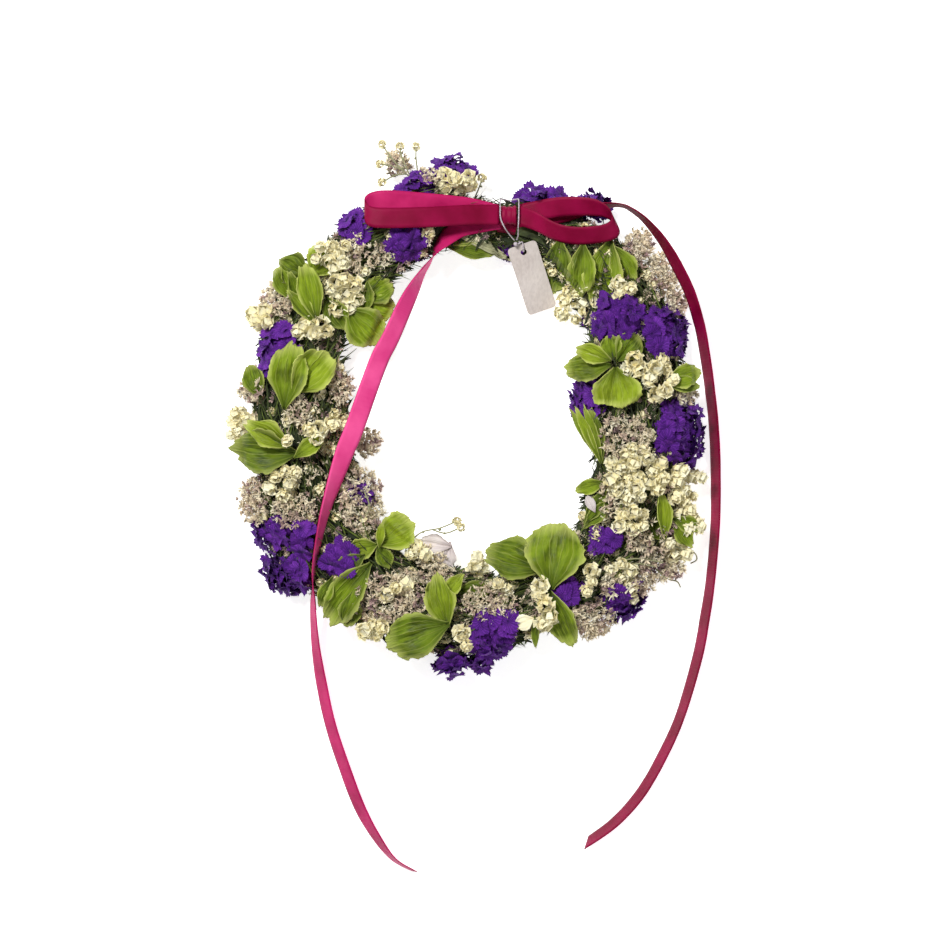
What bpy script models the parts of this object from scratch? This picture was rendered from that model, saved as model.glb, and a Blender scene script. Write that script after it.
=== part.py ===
# A flower crown of dried and preserved sprigs, lying flat on a table.
# A wire hoop wrapped in floral tape carries two bundles of bound stems. Sprigs of statice,
# hydrangea, baby's breath and caspia are bound on round it, and a satin ribbon is knotted on
# at the back of the head, with two bow loops and two long tails. A blank paper tag swings on
# a thin string tied round the bow's knot.
# Metres, +Z up, +Y towards the bow. The origin is on the table under the crown's middle.

import math

import bmesh
import bpy
from mathutils import Matrix, Vector

# Hoop: half sizes of its centreline, how square its oval is, and its height over the table
HOOP_HALF_X = 0.083
HOOP_HALF_Y = 0.0995
HOOP_SQUARENESS = 2.3
HOOP_CENTRE = (-0.0006, 0.0008)
HOOP_HEIGHT = 0.013
HOOP_STEPS = 48

WIRE_RADIUS = 0.001
TAPE_WALL = 0.0006
STEM_WALL = 0.0026
BINDING_RADIUS = 0.0003
BINDING_TURNS = 24
BINDING_STEPS_A_TURN = 7
BINDING_GAP = 0.0006
FIT_GAP = 0.0003
TAPE_PARTING = 2.0
STEM_PARTING = 1.0
BINDING_PARTING = 8.0

# Ribbon and bow
BOW_ANGLE = 78.6
RIBBON_WIDTH = 0.010
RIBBON_THICKNESS = 0.0004
BAND_LENGTH = 0.010
KNOT_SIZE = (0.0080, 0.0100, 0.0072)
KNOT_OUTWARDS = 0.0024
TAIL_STEPS = 4
LOOP_STEPS = 3

# Tag and its string
STRING_RADIUS = 0.00035
TAG_WIDTH = 0.0152
TAG_LENGTH = 0.037
TAG_THICKNESS = 0.0005
TAG_CORNER = 0.002
TAG_HOLE_RADIUS = 0.0016
TAG_HOLE_INSET = 0.0042
TAG_HEADING = -71.0
TAG_SLOPE = -22.5
TAG_HOLE = (0.0270, 0.0836, 0.0132)
TIE_KNOT = (0.0228, 0.0872, 0.0178)
TIE_KNOT_RADIUS = 0.0011
TAG_SWINGS = (-40.0, -20.0, 0.0, 5.0)
TAG_FLIPS = (0.0, 12.0, 24.0, 36.0, 48.0, 60.0, 75.0)

# Sprigs: the gap kept between neighbours, and the heights of their middles
SPRIG_GAP = 0.0003
SPRIG_CLEARANCE = 0.0008
HIGH_MIDDLE = 0.0230
LOW_MIDDLE = 0.0160
HIGH_HALF = 0.0130
LOW_HALF = 0.0175
SPRIG_REACH = 0.026
SPRIG_FULLNESS = 1.4
FOOT_RADIUS = 0.0045
NEIGHBOUR_REACH = 0.07
WELD_DISTANCE = 0.0003

# One line a sprig: angle round the hoop in degrees from +X, distance out from the hoop's
# centreline (inwards is negative), and half sizes along X and Y, in millimetres
STATICE = (
    (98, 21, 17, 10),
    (111, -9, 13, 9),
    (122, 11, 7.5, 8),
    (162, 16, 11, 14),
    (218, 26, 14, 17),
    (224, 3, 12, 10),
    (272, 21, 17, 14),
    (310, 28, 9.5, 9.5),
    (354, 24, 15, 18),
    (7, -27, 8, 7),
    (34, -3, 16.5, 12.5),
    (23, 23, 13.5, 15),
    (72, 15, 14, 8),
    (60, 25, 11, 8),
)
HYDRANGEA = (
    (144, 15, 16, 17),
    (133, -21, 13, 16),
    (169, 2, 16, 15),
    (189, 17, 20, 14),
    (235, -21, 16, 14.5),
    (235, 12, 14, 15.5),
    (260, 10, 15, 20),
    (287, -25, 10, 13.5),
    (301, -14, 14, 15),
    (292, 11, 9, 13),
    (331, 20, 8, 12.5),
    (19, -15, 19, 18),
    (50, -4, 22, 17),
)
BABYS_BREATH = (
    (134, -4, 9, 14),
    (201, 10, 18, 10),
    (258, -28, 10, 10),
    (337, 2, 14, 17),
    (340, 30, 10, 13),
    (11, 15, 14, 11),
)
CASPIA = (
    (106, 29, 10, 8),
    (154, 25, 11, 10),
    (178, 28, 9, 14),
    (202, 30, 8.5, 12),
    (219, -23, 12, 19),
    (182, -22, 12, 18),
    (248, 2, 19, 16.5),
    (303, 18, 14, 17),
    (322, 27, 11, 9),
    (351, -6, 13, 13),
    (38, 25, 18.5, 21),
)

# Routes of the ribbon and string from the knot outwards, drawn for a knot whose middle is at
# DRAWN_KNOT, and moved with it. A tail's point is x, y, z and its roll in degrees, 0 lying
# flat and 90 standing on edge. A loop's point is x, y, z and its width's tilt
DRAWN_KNOT = (0.0191, 0.1010, 0.0223)
DRAWN_STEMS_Y = 0.09237
DRAWN_CORE_RADIUS = 0.0048
LEFT_TAIL = (
    (0.0145, 0.0992, 0.0206, 0),
    (0.0050, 0.0975, 0.0206, 0),
    (-0.0060, 0.0945, 0.0212, 12),
    (-0.0150, 0.0860, 0.0225, 55),
    (-0.0190, 0.0790, 0.0240, 90),
    (-0.0240, 0.0715, 0.0258, 106),
    (-0.0310, 0.0580, 0.0285, 136),
    (-0.0395, 0.0390, 0.0310, 148),
    (-0.0455, 0.0270, 0.0320, 154),
    (-0.0570, -0.0050, 0.0325, 158),
    (-0.0615, -0.0160, 0.0325, 154),
    (-0.0670, -0.0320, 0.0325, 132),
    (-0.0720, -0.0480, 0.0320, 113),
    (-0.0755, -0.0640, 0.0300, 103),
    (-0.0778, -0.0780, 0.0265, 94),
    (-0.0785, -0.0920, 0.0210, 73),
    (-0.0780, -0.1130, 0.0110, 63),
    (-0.0753, -0.1340, 0.0050, 54),
    (-0.0708, -0.1550, 0.0, 53),
    (-0.0640, -0.1760, 0.0, 51),
    (-0.0558, -0.1975, 0.0, 52),
    (-0.0470, -0.2130, 0.0, 60),
    (-0.0385, -0.2235, 0.0, 70),
    (-0.0280, -0.2295, 0.0, 76),
)
RIGHT_TAIL = (
    (0.0243, 0.1002, 0.0206, 0),
    (0.0340, 0.1010, 0.0206, 0),
    (0.0470, 0.1025, 0.0225, 18),
    (0.0600, 0.1043, 0.0265, 52),
    (0.0735, 0.1052, 0.0300, 80),
    (0.0810, 0.1022, 0.0305, 78),
    (0.0885, 0.0960, 0.0295, 71),
    (0.0965, 0.0865, 0.0270, 67),
    (0.1030, 0.0760, 0.0235, 65),
    (0.1095, 0.0640, 0.0190, 65),
    (0.1140, 0.0520, 0.0145, 65),
    (0.1175, 0.0390, 0.0098, 66),
    (0.1218, 0.0130, 0.0050, 67),
    (0.1237, -0.0060, 0.0, 67),
    (0.1245, -0.0255, 0.0, 67),
    (0.1243, -0.0530, 0.0, 69),
    (0.1220, -0.0810, 0.0, 69),
    (0.1189, -0.1020, 0.0, 67),
    (0.1153, -0.1210, 0.0, 67),
    (0.1068, -0.1500, 0.0, 69),
    (0.0980, -0.1700, 0.0, 68),
    (0.0868, -0.1895, 0.0, 68),
    (0.0735, -0.2045, 0.0, 70),
    (0.0590, -0.2150, 0.0, 74),
)
LEFT_LOOP = (
    (0.0145, 0.1012, 0.0222, 0),
    (0.0000, 0.1045, 0.0245, 4),
    (-0.0200, 0.1062, 0.0285, 8),
    (-0.0400, 0.1074, 0.0312, 8),
    (-0.0490, 0.1062, 0.0318, 6),
    (-0.0520, 0.1025, 0.0345, 4),
    (-0.0490, 0.0988, 0.0370, 4),
    (-0.0400, 0.0980, 0.0372, 4),
    (-0.0200, 0.0988, 0.0345, 4),
    (0.0000, 0.1005, 0.0290, 2),
    (0.0145, 0.1010, 0.0245, 0),
)
RIGHT_LOOP = (
    (0.0245, 0.1015, 0.0222, 0),
    (0.0330, 0.1030, 0.0240, 10),
    (0.0440, 0.1045, 0.0275, 20),
    (0.0560, 0.1045, 0.0305, 26),
    (0.0650, 0.1030, 0.0325, 32),
    (0.0710, 0.0985, 0.0335, 36),
    (0.0715, 0.0935, 0.0340, 38),
    (0.0650, 0.0905, 0.0342, 36),
    (0.0510, 0.0898, 0.0335, 32),
    (0.0410, 0.0925, 0.0315, 26),
    (0.0325, 0.0975, 0.0282, 14),
    (0.0245, 0.1008, 0.0246, 0),
)
TAG_STRING = (
    (0.0222, 0.0890, 0.0186),
    (0.0205, 0.0905, 0.0215),
    (0.0172, 0.0945, 0.0262),
    (0.0152, 0.0990, 0.0274),
    (0.0150, 0.1045, 0.0272),
    (0.0152, 0.1085, 0.0250),
    (0.0168, 0.1092, 0.0205),
    (0.0195, 0.1090, 0.0180),
    (0.0228, 0.1092, 0.0200),
    (0.0242, 0.1085, 0.0250),
    (0.0243, 0.1045, 0.0272),
    (0.0242, 0.0990, 0.0274),
    (0.0240, 0.0950, 0.0262),
    (0.0240, 0.0912, 0.0215),
    (0.0233, 0.0892, 0.0186),
)

COLOURS = {
    "wire": (0.16, 0.17, 0.14, 0.45, 0.9),
    "tape": (0.07, 0.12, 0.03, 0.75, 0.0),
    "stems": (0.12, 0.14, 0.04, 0.80, 0.0),
    "binding": (0.10, 0.12, 0.05, 0.50, 0.8),
    "ribbon": (0.38, 0.008, 0.09, 0.35, 0.0),
    "string": (0.60, 0.52, 0.62, 0.70, 0.0),
    "tag": (0.62, 0.55, 0.53, 0.70, 0.0),
    "statice": (0.07, 0.008, 0.22, 0.75, 0.0),
    "hydrangea": (0.22, 0.40, 0.04, 0.60, 0.0),
    "babys_breath": (0.78, 0.71, 0.50, 0.85, 0.0),
    "caspia": (0.46, 0.36, 0.34, 0.85, 0.0),
}


def clear_scene():
    for item in list(bpy.data.objects):
        bpy.data.objects.remove(item, do_unlink=True)


def make_material(name):
    red, green, blue, roughness, metallic = COLOURS[name]
    material = bpy.data.materials.new(name)
    material.use_nodes = True
    shader = material.node_tree.nodes["Principled BSDF"]
    shader.inputs["Base Color"].default_value = (red, green, blue, 1.0)
    shader.inputs["Roughness"].default_value = roughness
    shader.inputs["Metallic"].default_value = metallic
    material.diffuse_color = (red, green, blue, 1.0)
    return material


def add_object(name, data, material_name, parent=None):
    item = bpy.data.objects.new(name, data)
    item.data.materials.append(make_material(material_name))
    bpy.data.collections["flower_crown"].objects.link(item)
    if parent:
        item.parent = parent
        item.matrix_parent_inverse = parent.matrix_world.inverted()
    return item


def add_empty(name, place, parent=None):
    item = bpy.data.objects.new(name, None)
    item.empty_display_size = 0.01
    bpy.data.collections["flower_crown"].objects.link(item)
    item.location = place
    if parent:
        item.parent = parent
        item.matrix_parent_inverse = parent.matrix_world.inverted()
    bpy.context.view_layer.update()
    return item


def mesh_from(bm, name):
    mesh = bpy.data.meshes.new(name)
    bm.to_mesh(mesh)
    bm.free()
    mesh.shade_smooth()
    mesh.set_sharp_from_angle(angle=math.radians(40))
    return mesh


def hoop_point(angle, out=0.0, up=0.0):
    turn = math.radians(angle)
    c, s = math.cos(turn), math.sin(turn)
    across = abs(c / HOOP_HALF_X) ** HOOP_SQUARENESS
    along = abs(s / HOOP_HALF_Y) ** HOOP_SQUARENESS
    radius = (across + along) ** (-1 / HOOP_SQUARENESS) + out
    x = HOOP_CENTRE[0] + radius * c
    y = HOOP_CENTRE[1] + radius * s
    return Vector((x, y, HOOP_HEIGHT + up))


def hoop_run(first, last):
    """The hoop's centreline between two angles, on the same chords for every piece."""
    step = 360 / HOOP_STEPS
    corners = [BOW_ANGLE + step * k for k in range(2 * HOOP_STEPS)]
    between = [angle for angle in corners if first < angle < last]
    points = [chord_point(angle) for angle in [first, *between, last]]
    return points


def chord_point(angle):
    step = 360 / HOOP_STEPS
    corner, share = divmod((angle - BOW_ANGLE) / step, 1)
    start = hoop_point(BOW_ANGLE + step * corner)
    end = hoop_point(BOW_ANGLE + step * (corner + 1))
    return start.lerp(end, share)


def smooth_route(points, steps):
    """Points of a Catmull-Rom curve through the route, each with the route's own fields."""
    fields = len(points[0])
    route = []
    for i in range(len(points) - 1):
        a = points[max(i - 1, 0)]
        b, c = points[i], points[i + 1]
        d = points[min(i + 2, len(points) - 1)]
        for k in range(steps):
            t = k / steps
            spot = []
            for f in range(fields):
                bend = -a[f] + 3 * b[f] - 3 * c[f] + d[f]
                sway = 2 * a[f] - 5 * b[f] + 4 * c[f] - d[f]
                spot.append(b[f] + 0.5 * t * (c[f] - a[f] + t * (sway + t * bend)))
            route.append(tuple(spot))
    route.append(tuple(points[-1]))
    return route


def tube(name, points, radius, material_name, resolution=2, closed=False, parent=None):
    curve = bpy.data.curves.new(name, "CURVE")
    curve.dimensions = "3D"
    curve.bevel_depth = radius
    curve.bevel_resolution = resolution
    curve.render_resolution_u = 0
    curve.use_fill_caps = not closed
    spline = curve.splines.new("POLY")
    spline.points.add(len(points) - 1)
    for point, place in zip(spline.points, points):
        point.co = (*place[:3], 1.0)
    spline.use_cyclic_u = closed
    return add_object(name, curve, material_name, parent)


def sleeve(name, points, inner_radius, wall, material_name):
    """A hollow tube with open ends, round what runs inside it."""
    item = tube(name, points, inner_radius, material_name, resolution=1)
    item.data.use_fill_caps = False
    item.data.bevel_depth = inner_radius + wall
    solidify = item.modifiers.new("wall", "SOLIDIFY")
    solidify.thickness = wall
    solidify.offset = -1.0
    return item


def make_hoop():
    points = [chord_point(BOW_ANGLE + 360 * k / HOOP_STEPS) for k in range(HOOP_STEPS)]
    tube("wire_hoop", points, WIRE_RADIUS, "wire", resolution=1, closed=True)
    taped = hoop_run(BOW_ANGLE + TAPE_PARTING, BOW_ANGLE + 360 - TAPE_PARTING)
    sleeve("floral_tape", taped, tape_inner(), TAPE_WALL, "tape")


def tape_inner():
    return WIRE_RADIUS + FIT_GAP


def stems_inner():
    return tape_inner() + TAPE_WALL + FIT_GAP


def core_radius():
    return stems_inner() + STEM_WALL


def make_stems():
    middle = BOW_ANGLE + 180
    left = hoop_run(BOW_ANGLE + STEM_PARTING, middle - STEM_PARTING)
    right = hoop_run(middle + STEM_PARTING, middle + 180 - STEM_PARTING)
    sleeve("stem_bundle_left", left, stems_inner(), STEM_WALL, "stems")
    sleeve("stem_bundle_right", right, stems_inner(), STEM_WALL, "stems")


def make_binding_wire():
    """Thin wire wound round the bundles, from one side of the ribbon band to the other."""
    steps = BINDING_TURNS * BINDING_STEPS_A_TURN
    radius = (core_radius() + BINDING_RADIUS + BINDING_GAP) / math.cos(math.pi / BINDING_STEPS_A_TURN)
    points = []
    for i in range(steps + 1):
        angle = BOW_ANGLE + BINDING_PARTING + (360 - 2 * BINDING_PARTING) * i / steps
        turn = 2 * math.pi * i / BINDING_STEPS_A_TURN
        centre = chord_point(angle)
        ahead = (hoop_point(angle + 0.5) - hoop_point(angle - 0.5)).normalized()
        side = ahead.cross(Vector((0, 0, 1)))
        lift = Vector((0, 0, math.sin(turn)))
        points.append(centre + radius * (math.cos(turn) * side + lift))
    tube("binding_wire", points, BINDING_RADIUS, "binding", resolution=0)


def bow_shift():
    """How far the knot has moved from where the routes were drawn."""
    return knot_middle() - Vector(DRAWN_KNOT)


def at_bow(points):
    shift = bow_shift()
    return [(x + shift.x, y + shift.y, z + shift.z, *rest) for x, y, z, *rest in points]


def from_bow(points):
    """A tail's points: high ones follow the knot's height, and those on the table stay on it."""
    shift = bow_shift()
    table = RIBBON_WIDTH / 2
    moved = []
    for x, y, z, roll in points:
        share = min(1.0, max(0.0, (z - table) / (DRAWN_KNOT[2] - RIBBON_WIDTH - table)))
        moved.append((x + shift.x, y + shift.y, z + shift.z * share, roll))
    return moved


def make_band():
    middle = hoop_point(BOW_ANGLE)
    step = math.degrees(BAND_LENGTH / 2 / (middle - Vector((*HOOP_CENTRE, HOOP_HEIGHT))).length)
    points = hoop_run(BOW_ANGLE - step, BOW_ANGLE + step)
    item = sleeve("ribbon_band", points, band_inner(), RIBBON_THICKNESS, "ribbon")
    item.data.bevel_resolution = 3


def band_inner():
    return core_radius() + FIT_GAP


def knot_middle():
    place = hoop_point(BOW_ANGLE)
    lift = (band_inner() + RIBBON_THICKNESS) + FIT_GAP + KNOT_SIZE[2] / 2
    return Vector((place.x, place.y + KNOT_OUTWARDS, HOOP_HEIGHT + lift))


def make_knot():
    """A short wrap of ribbon, rounded like a barrel."""
    bm = bmesh.new()
    bmesh.ops.create_cube(bm, size=1.0)
    bmesh.ops.scale(bm, vec=KNOT_SIZE, verts=bm.verts)
    bmesh.ops.translate(bm, vec=knot_middle(), verts=bm.verts)
    item = add_object("bow_knot", mesh_from(bm, "bow_knot"), "ribbon")
    bevel = item.modifiers.new("rounding", "BEVEL")
    bevel.width = 0.0022
    bevel.segments = 3
    return item


def strip(name, centres, sides, width):
    """A ribbon: a grid of one strip whose rows sit across the route, given a thickness."""
    rows = len(centres)
    bm = bmesh.new()
    bmesh.ops.create_grid(bm, x_segments=rows - 1, y_segments=1, size=1.0)
    for vert in bm.verts:
        row = round((vert.co.x + 1) / 2 * (rows - 1))
        vert.co = centres[row] + sides[row] * (vert.co.y * width / 2)
    item = add_object(name, mesh_from(bm, name), "ribbon")
    solidify = item.modifiers.new("thickness", "SOLIDIFY")
    solidify.thickness = RIBBON_THICKNESS
    solidify.offset = 0.0
    return item


def tail_frames(points):
    route = smooth_route(from_bow(points), TAIL_STEPS)
    centres = [Vector(spot[:3]) for spot in route]
    for centre, spot in zip(centres, route):
        standing = abs(math.sin(math.radians(spot[3]))) * RIBBON_WIDTH / 2
        centre.z = max(centre.z, standing + RIBBON_THICKNESS)
    sides = []
    for i, spot in enumerate(route):
        ahead = centres[min(i + 1, len(route) - 1)] - centres[max(i - 1, 0)]
        level = Vector((-ahead.y, ahead.x, 0)).normalized()
        roll = math.radians(spot[3])
        sides.append(math.cos(roll) * level + math.sin(roll) * Vector((0, 0, 1)))
    return centres, sides


def loop_frames(points, lean=0.0):
    route = smooth_route(at_bow(points), LOOP_STEPS)
    centres = [Vector(spot[:3]) for spot in route]
    sides = []
    for i, spot in enumerate(route):
        tilt = math.radians(spot[3])
        outer = math.sin(math.pi * i / (len(route) - 1)) ** 2
        sides.append(Vector((-lean * outer, math.cos(tilt), math.sin(tilt))).normalized())
    return centres, sides


def ribbon_pieces():
    return {
        "ribbon_tail_left": tail_frames(LEFT_TAIL),
        "ribbon_tail_right": tail_frames(RIGHT_TAIL),
        "bow_loop_left": loop_frames(LEFT_LOOP),
        "bow_loop_right": loop_frames(RIGHT_LOOP, lean=0.45),
    }


def make_ribbons():
    for name, (centres, sides) in ribbon_pieces().items():
        strip(name, centres, sides, RIBBON_WIDTH)


def hoop_edge(x):
    """The hoop centreline's y above a given x, on the bow's side."""
    across = (abs(x - HOOP_CENTRE[0]) / HOOP_HALF_X) ** HOOP_SQUARENESS
    return HOOP_CENTRE[1] + HOOP_HALF_Y * (1 - across) ** (1 / HOOP_SQUARENESS)


def tag_shift():
    """The tag follows the stems over its right corner, so that it hangs clear of them."""
    shift = bow_shift()
    stems_inwards = core_radius() - DRAWN_CORE_RADIUS
    shift.y = hoop_edge(TIE_KNOT[0] + shift.x + TAG_WIDTH) - DRAWN_STEMS_Y - stems_inwards
    return shift


def tie_place():
    return Vector(TIE_KNOT) + tag_shift()


def tag_hole():
    return Vector(TAG_HOLE) + tag_shift()


def string_route():
    """The string follows the knot at its far end and the tag's tie at its near end."""
    knot, tie = bow_shift(), tag_shift()
    moved = []
    for x, y, z in TAG_STRING:
        share = min(1.0, max(0.0, (DRAWN_KNOT[1] - y) / (DRAWN_KNOT[1] - TIE_KNOT[1])))
        moved.append(tuple(Vector((x, y, z)) + knot.lerp(tie, share)))
    return moved


def tag_matrix(swing=0.0, flip=0.0):
    """The tag's own frame: X along it from the hole to the tip, Z its upper face.
    Both motions turn about the string's small knot."""
    place = Matrix.Translation(tag_hole())
    heading = Matrix.Rotation(math.radians(TAG_HEADING), 4, "Z")
    slope = Matrix.Rotation(math.radians(-TAG_SLOPE), 4, "Y")
    pivot = Matrix.Translation(tie_place())
    swung = Matrix.Rotation(math.radians(swing), 4, "Z")
    raised = Matrix.Rotation(math.radians(-flip), 4, heading @ Vector((0, 1, 0)))
    return pivot @ swung @ raised @ pivot.inverted() @ place @ heading @ slope


def make_string():
    tube("tag_string", smooth_route(string_route(), 3), STRING_RADIUS, "string")


def make_tie():
    """The string's small knot, and the loop below it that passes through the tag's hole.
    Returns the axis that the tag and the loop flip up about."""
    swing = add_empty("tag_swing_axis", tie_place())
    bm = bmesh.new()
    bmesh.ops.create_icosphere(bm, subdivisions=2, radius=TIE_KNOT_RADIUS)
    knot = add_object("tie_knot", mesh_from(bm, "tie_knot"), "string", swing)
    knot.matrix_world = Matrix.Translation(tie_place())
    frame = tag_matrix()
    start = tie_place() + Vector((0.0, -0.0014, -0.0013))
    top = frame @ Vector((-TAG_HOLE_INSET - 0.0016, 0.0005, 0.0012))
    over = frame @ Vector((-0.0022, 0.0003, 0.0016))
    through = frame @ Vector((-0.0002, 0.0, 0.0))
    under = frame @ Vector((-0.0022, -0.0003, -0.0016))
    back = frame @ Vector((-TAG_HOLE_INSET - 0.0016, -0.0005, -0.0010))
    points = smooth_route([tuple(p) for p in (start, top, over, through, under, back)], 4)
    flip = add_empty("tag_flip_axis", tie_place(), swing)
    tube("tie_loop", points, STRING_RADIUS, "string", parent=flip)
    return flip


def make_tag(flip):
    """A blank card with rounded corners and a hole near its top end."""
    curve = bpy.data.curves.new("swing_tag", "CURVE")
    curve.dimensions = "2D"
    curve.fill_mode = "BOTH"
    curve.extrude = TAG_THICKNESS / 2
    curve.render_resolution_u = 0
    add_outline(curve, rounded_outline())
    circle = [2 * math.pi * i / 16 for i in range(16)]
    add_outline(curve, [(TAG_HOLE_RADIUS * math.cos(a), TAG_HOLE_RADIUS * math.sin(a)) for a in circle])
    tag = add_object("swing_tag", curve, "tag", flip)
    tag.matrix_world = tag_matrix()


def add_outline(curve, points):
    spline = curve.splines.new("POLY")
    spline.points.add(len(points) - 1)
    for point, (x, y) in zip(spline.points, points):
        point.co = (x, y, 0.0, 1.0)
    spline.use_cyclic_u = True


def rounded_outline():
    low, high = -TAG_HOLE_INSET, TAG_LENGTH - TAG_HOLE_INSET
    half = TAG_WIDTH / 2
    corners = ((high, half, 0), (low, half, 90), (low, -half, 180), (high, -half, 270))
    points = []
    for x, y, first in corners:
        centre_x = x - math.copysign(TAG_CORNER, x)
        centre_y = y - math.copysign(TAG_CORNER, y)
        for k in range(5):
            turn = math.radians(first + 90 * k / 4)
            points.append((centre_x + TAG_CORNER * math.cos(turn), centre_y + TAG_CORNER * math.sin(turn)))
    return points


def keep_outs():
    """Balls that the sprigs are trimmed clear of: centre and radius."""
    balls = []
    for i in range(180):
        balls.append((hoop_point(2 * i), core_radius() + 2 * BINDING_RADIUS + 2 * BINDING_GAP + SPRIG_GAP))
    for centres, sides in ribbon_pieces().values():
        fine = [(c, s) for c, s in zip(centres, sides)]
        halves = [((a + c) / 2, (b + d) / 2) for (a, b), (c, d) in zip(fine, fine[1:])]
        for centre, side in fine + halves:
            for k in (-1.0, -0.5, 0.0, 0.5, 1.0):
                balls.append((centre + side * (k * RIBBON_WIDTH / 2), SPRIG_CLEARANCE))
    balls.append((knot_middle(), max(KNOT_SIZE) * 0.68))
    for spot in smooth_route(string_route(), 2):
        balls.append((Vector(spot[:3]), STRING_RADIUS + SPRIG_GAP + SPRIG_CLEARANCE))
    balls.append((tie_place(), TIE_KNOT_RADIUS + 0.003))
    for swing in TAG_SWINGS:
        for flip in TAG_FLIPS:
            frame = tag_matrix(swing, flip)
            for i in range(9):
                x = -TAG_HOLE_INSET - 0.001 + (TAG_LENGTH + 0.002) * i / 8
                for k in (-1.0, 0.0, 1.0):
                    spot = frame @ Vector((x, k * (TAG_WIDTH / 2 + 0.001), 0))
                    balls.append((spot, SPRIG_CLEARANCE))
    return balls


def sprig_list():
    rows = []
    for kind, layout in (
        ("statice", STATICE),
        ("hydrangea", HYDRANGEA),
        ("babys_breath", BABYS_BREATH),
        ("caspia", CASPIA),
    ):
        for number, (angle, out, half_x, half_y) in enumerate(layout, start=1):
            share = min(1.0, abs(out) * 0.001 / SPRIG_REACH * 1.4)
            middle = HIGH_MIDDLE + (LOW_MIDDLE - HIGH_MIDDLE) * share
            half = Vector((half_x, half_y, 0)) * 0.001
            outwards = Vector((math.cos(math.radians(angle)), math.sin(math.radians(angle)), 0))
            pull = min(abs(out) * 0.001, (SPRIG_FULLNESS - 1) * reach_along(half, outwards))
            centre = hoop_point(angle, out * 0.001 - math.copysign(pull, out))
            centre.z = middle
            half = half * SPRIG_FULLNESS
            half.z = HIGH_HALF + (LOW_HALF - HIGH_HALF) * share
            bound = hoop_point(angle)
            foot = bound + (centre - bound).normalized() * (core_radius() + FOOT_RADIUS)
            rows.append((f"{kind}_{number:02d}", kind, centre, half, foot))
    return rows


def reach_along(half, direction):
    return math.sqrt(sum((half[i] * direction[i]) ** 2 for i in range(3)))


def trim(bm, place, normal):
    """Cuts the closed lump at a plane and keeps the side that the normal points away from."""
    everything = bm.verts[:] + bm.edges[:] + bm.faces[:]
    cut = bmesh.ops.bisect_plane(
        bm, geom=everything, dist=1e-7, plane_co=place, plane_no=normal, clear_outer=True
    )
    edges = [item for item in cut["geom_cut"] if isinstance(item, bmesh.types.BMEdge)]
    rim = [edge for edge in bm.edges if edge.is_boundary]
    if edges and rim:
        bmesh.ops.holes_fill(bm, edges=rim, sides=0)


def cuts_lump(bm, place, normal):
    return any((vert.co - place).dot(normal) > 1e-6 for vert in bm.verts)


def closed_hull(bm):
    """The trimmed lump as one clean convex solid."""
    bmesh.ops.remove_doubles(bm, verts=bm.verts, dist=WELD_DISTANCE)
    hull = bmesh.new()
    for vert in bm.verts:
        hull.verts.new(vert.co)
    bm.free()
    made = bmesh.ops.convex_hull(hull, input=hull.verts)
    inside = set(made["geom_interior"]) | set(made["geom_unused"])
    loose = [item for item in inside if isinstance(item, bmesh.types.BMVert)]
    bmesh.ops.delete(hull, geom=loose, context="VERTS")
    bmesh.ops.recalc_face_normals(hull, faces=hull.faces)
    return hull


def lump(centre, half, foot):
    """The outer shape of one sprig: its rounded head, tapering to where its stem is bound on."""
    bm = bmesh.new()
    head = bmesh.ops.create_icosphere(bm, subdivisions=2, radius=1.0)["verts"]
    bmesh.ops.scale(bm, vec=half, verts=head)
    bmesh.ops.translate(bm, vec=centre, verts=head)
    base = bmesh.ops.create_icosphere(bm, subdivisions=1, radius=FOOT_RADIUS)["verts"]
    bmesh.ops.translate(bm, vec=foot, verts=base)
    return closed_hull(bm)


def facing_planes(row, rows):
    """A plane between this sprig and each neighbour, shared out by their sizes."""
    name, _, centre, half, _ = row
    planes = []
    for other, _, other_centre, other_half, _ in rows:
        gap = other_centre - centre
        if other == name or gap.length > NEIGHBOUR_REACH:
            continue
        towards = gap.normalized()
        mine = reach_along(half, towards)
        theirs = reach_along(other_half, towards)
        place = centre + gap * (mine / (mine + theirs)) - towards * (SPRIG_GAP / 2)
        planes.append((place, towards))
    return planes


def make_sprigs():
    rows = sprig_list()
    balls = keep_outs()
    floor = (Vector((0, 0, 0)), Vector((0, 0, -1)))
    for row in rows:
        name, kind, centre, half, foot = row
        bm = lump(centre, half, foot)
        reach = max((vert.co - centre).length for vert in bm.verts)
        planes = [floor] + facing_planes(row, rows)
        for ball, radius in balls:
            away = ball - centre
            if away.length < reach + radius:
                towards = away.normalized()
                planes.append((ball - towards * radius, towards))
        for place, normal in planes:
            if cuts_lump(bm, place, normal):
                trim(bm, place, normal)
        add_object(name, mesh_from(closed_hull(bm), name), kind)


def main():
    clear_scene()
    crown = bpy.data.collections.new("flower_crown")
    bpy.context.scene.collection.children.link(crown)
    make_hoop()
    make_stems()
    make_binding_wire()
    make_band()
    make_knot()
    make_ribbons()
    make_string()
    make_tag(make_tie())
    make_sprigs()


main()
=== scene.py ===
import math
import random

import bmesh
import bpy
from mathutils import Matrix, Vector, noise


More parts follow.
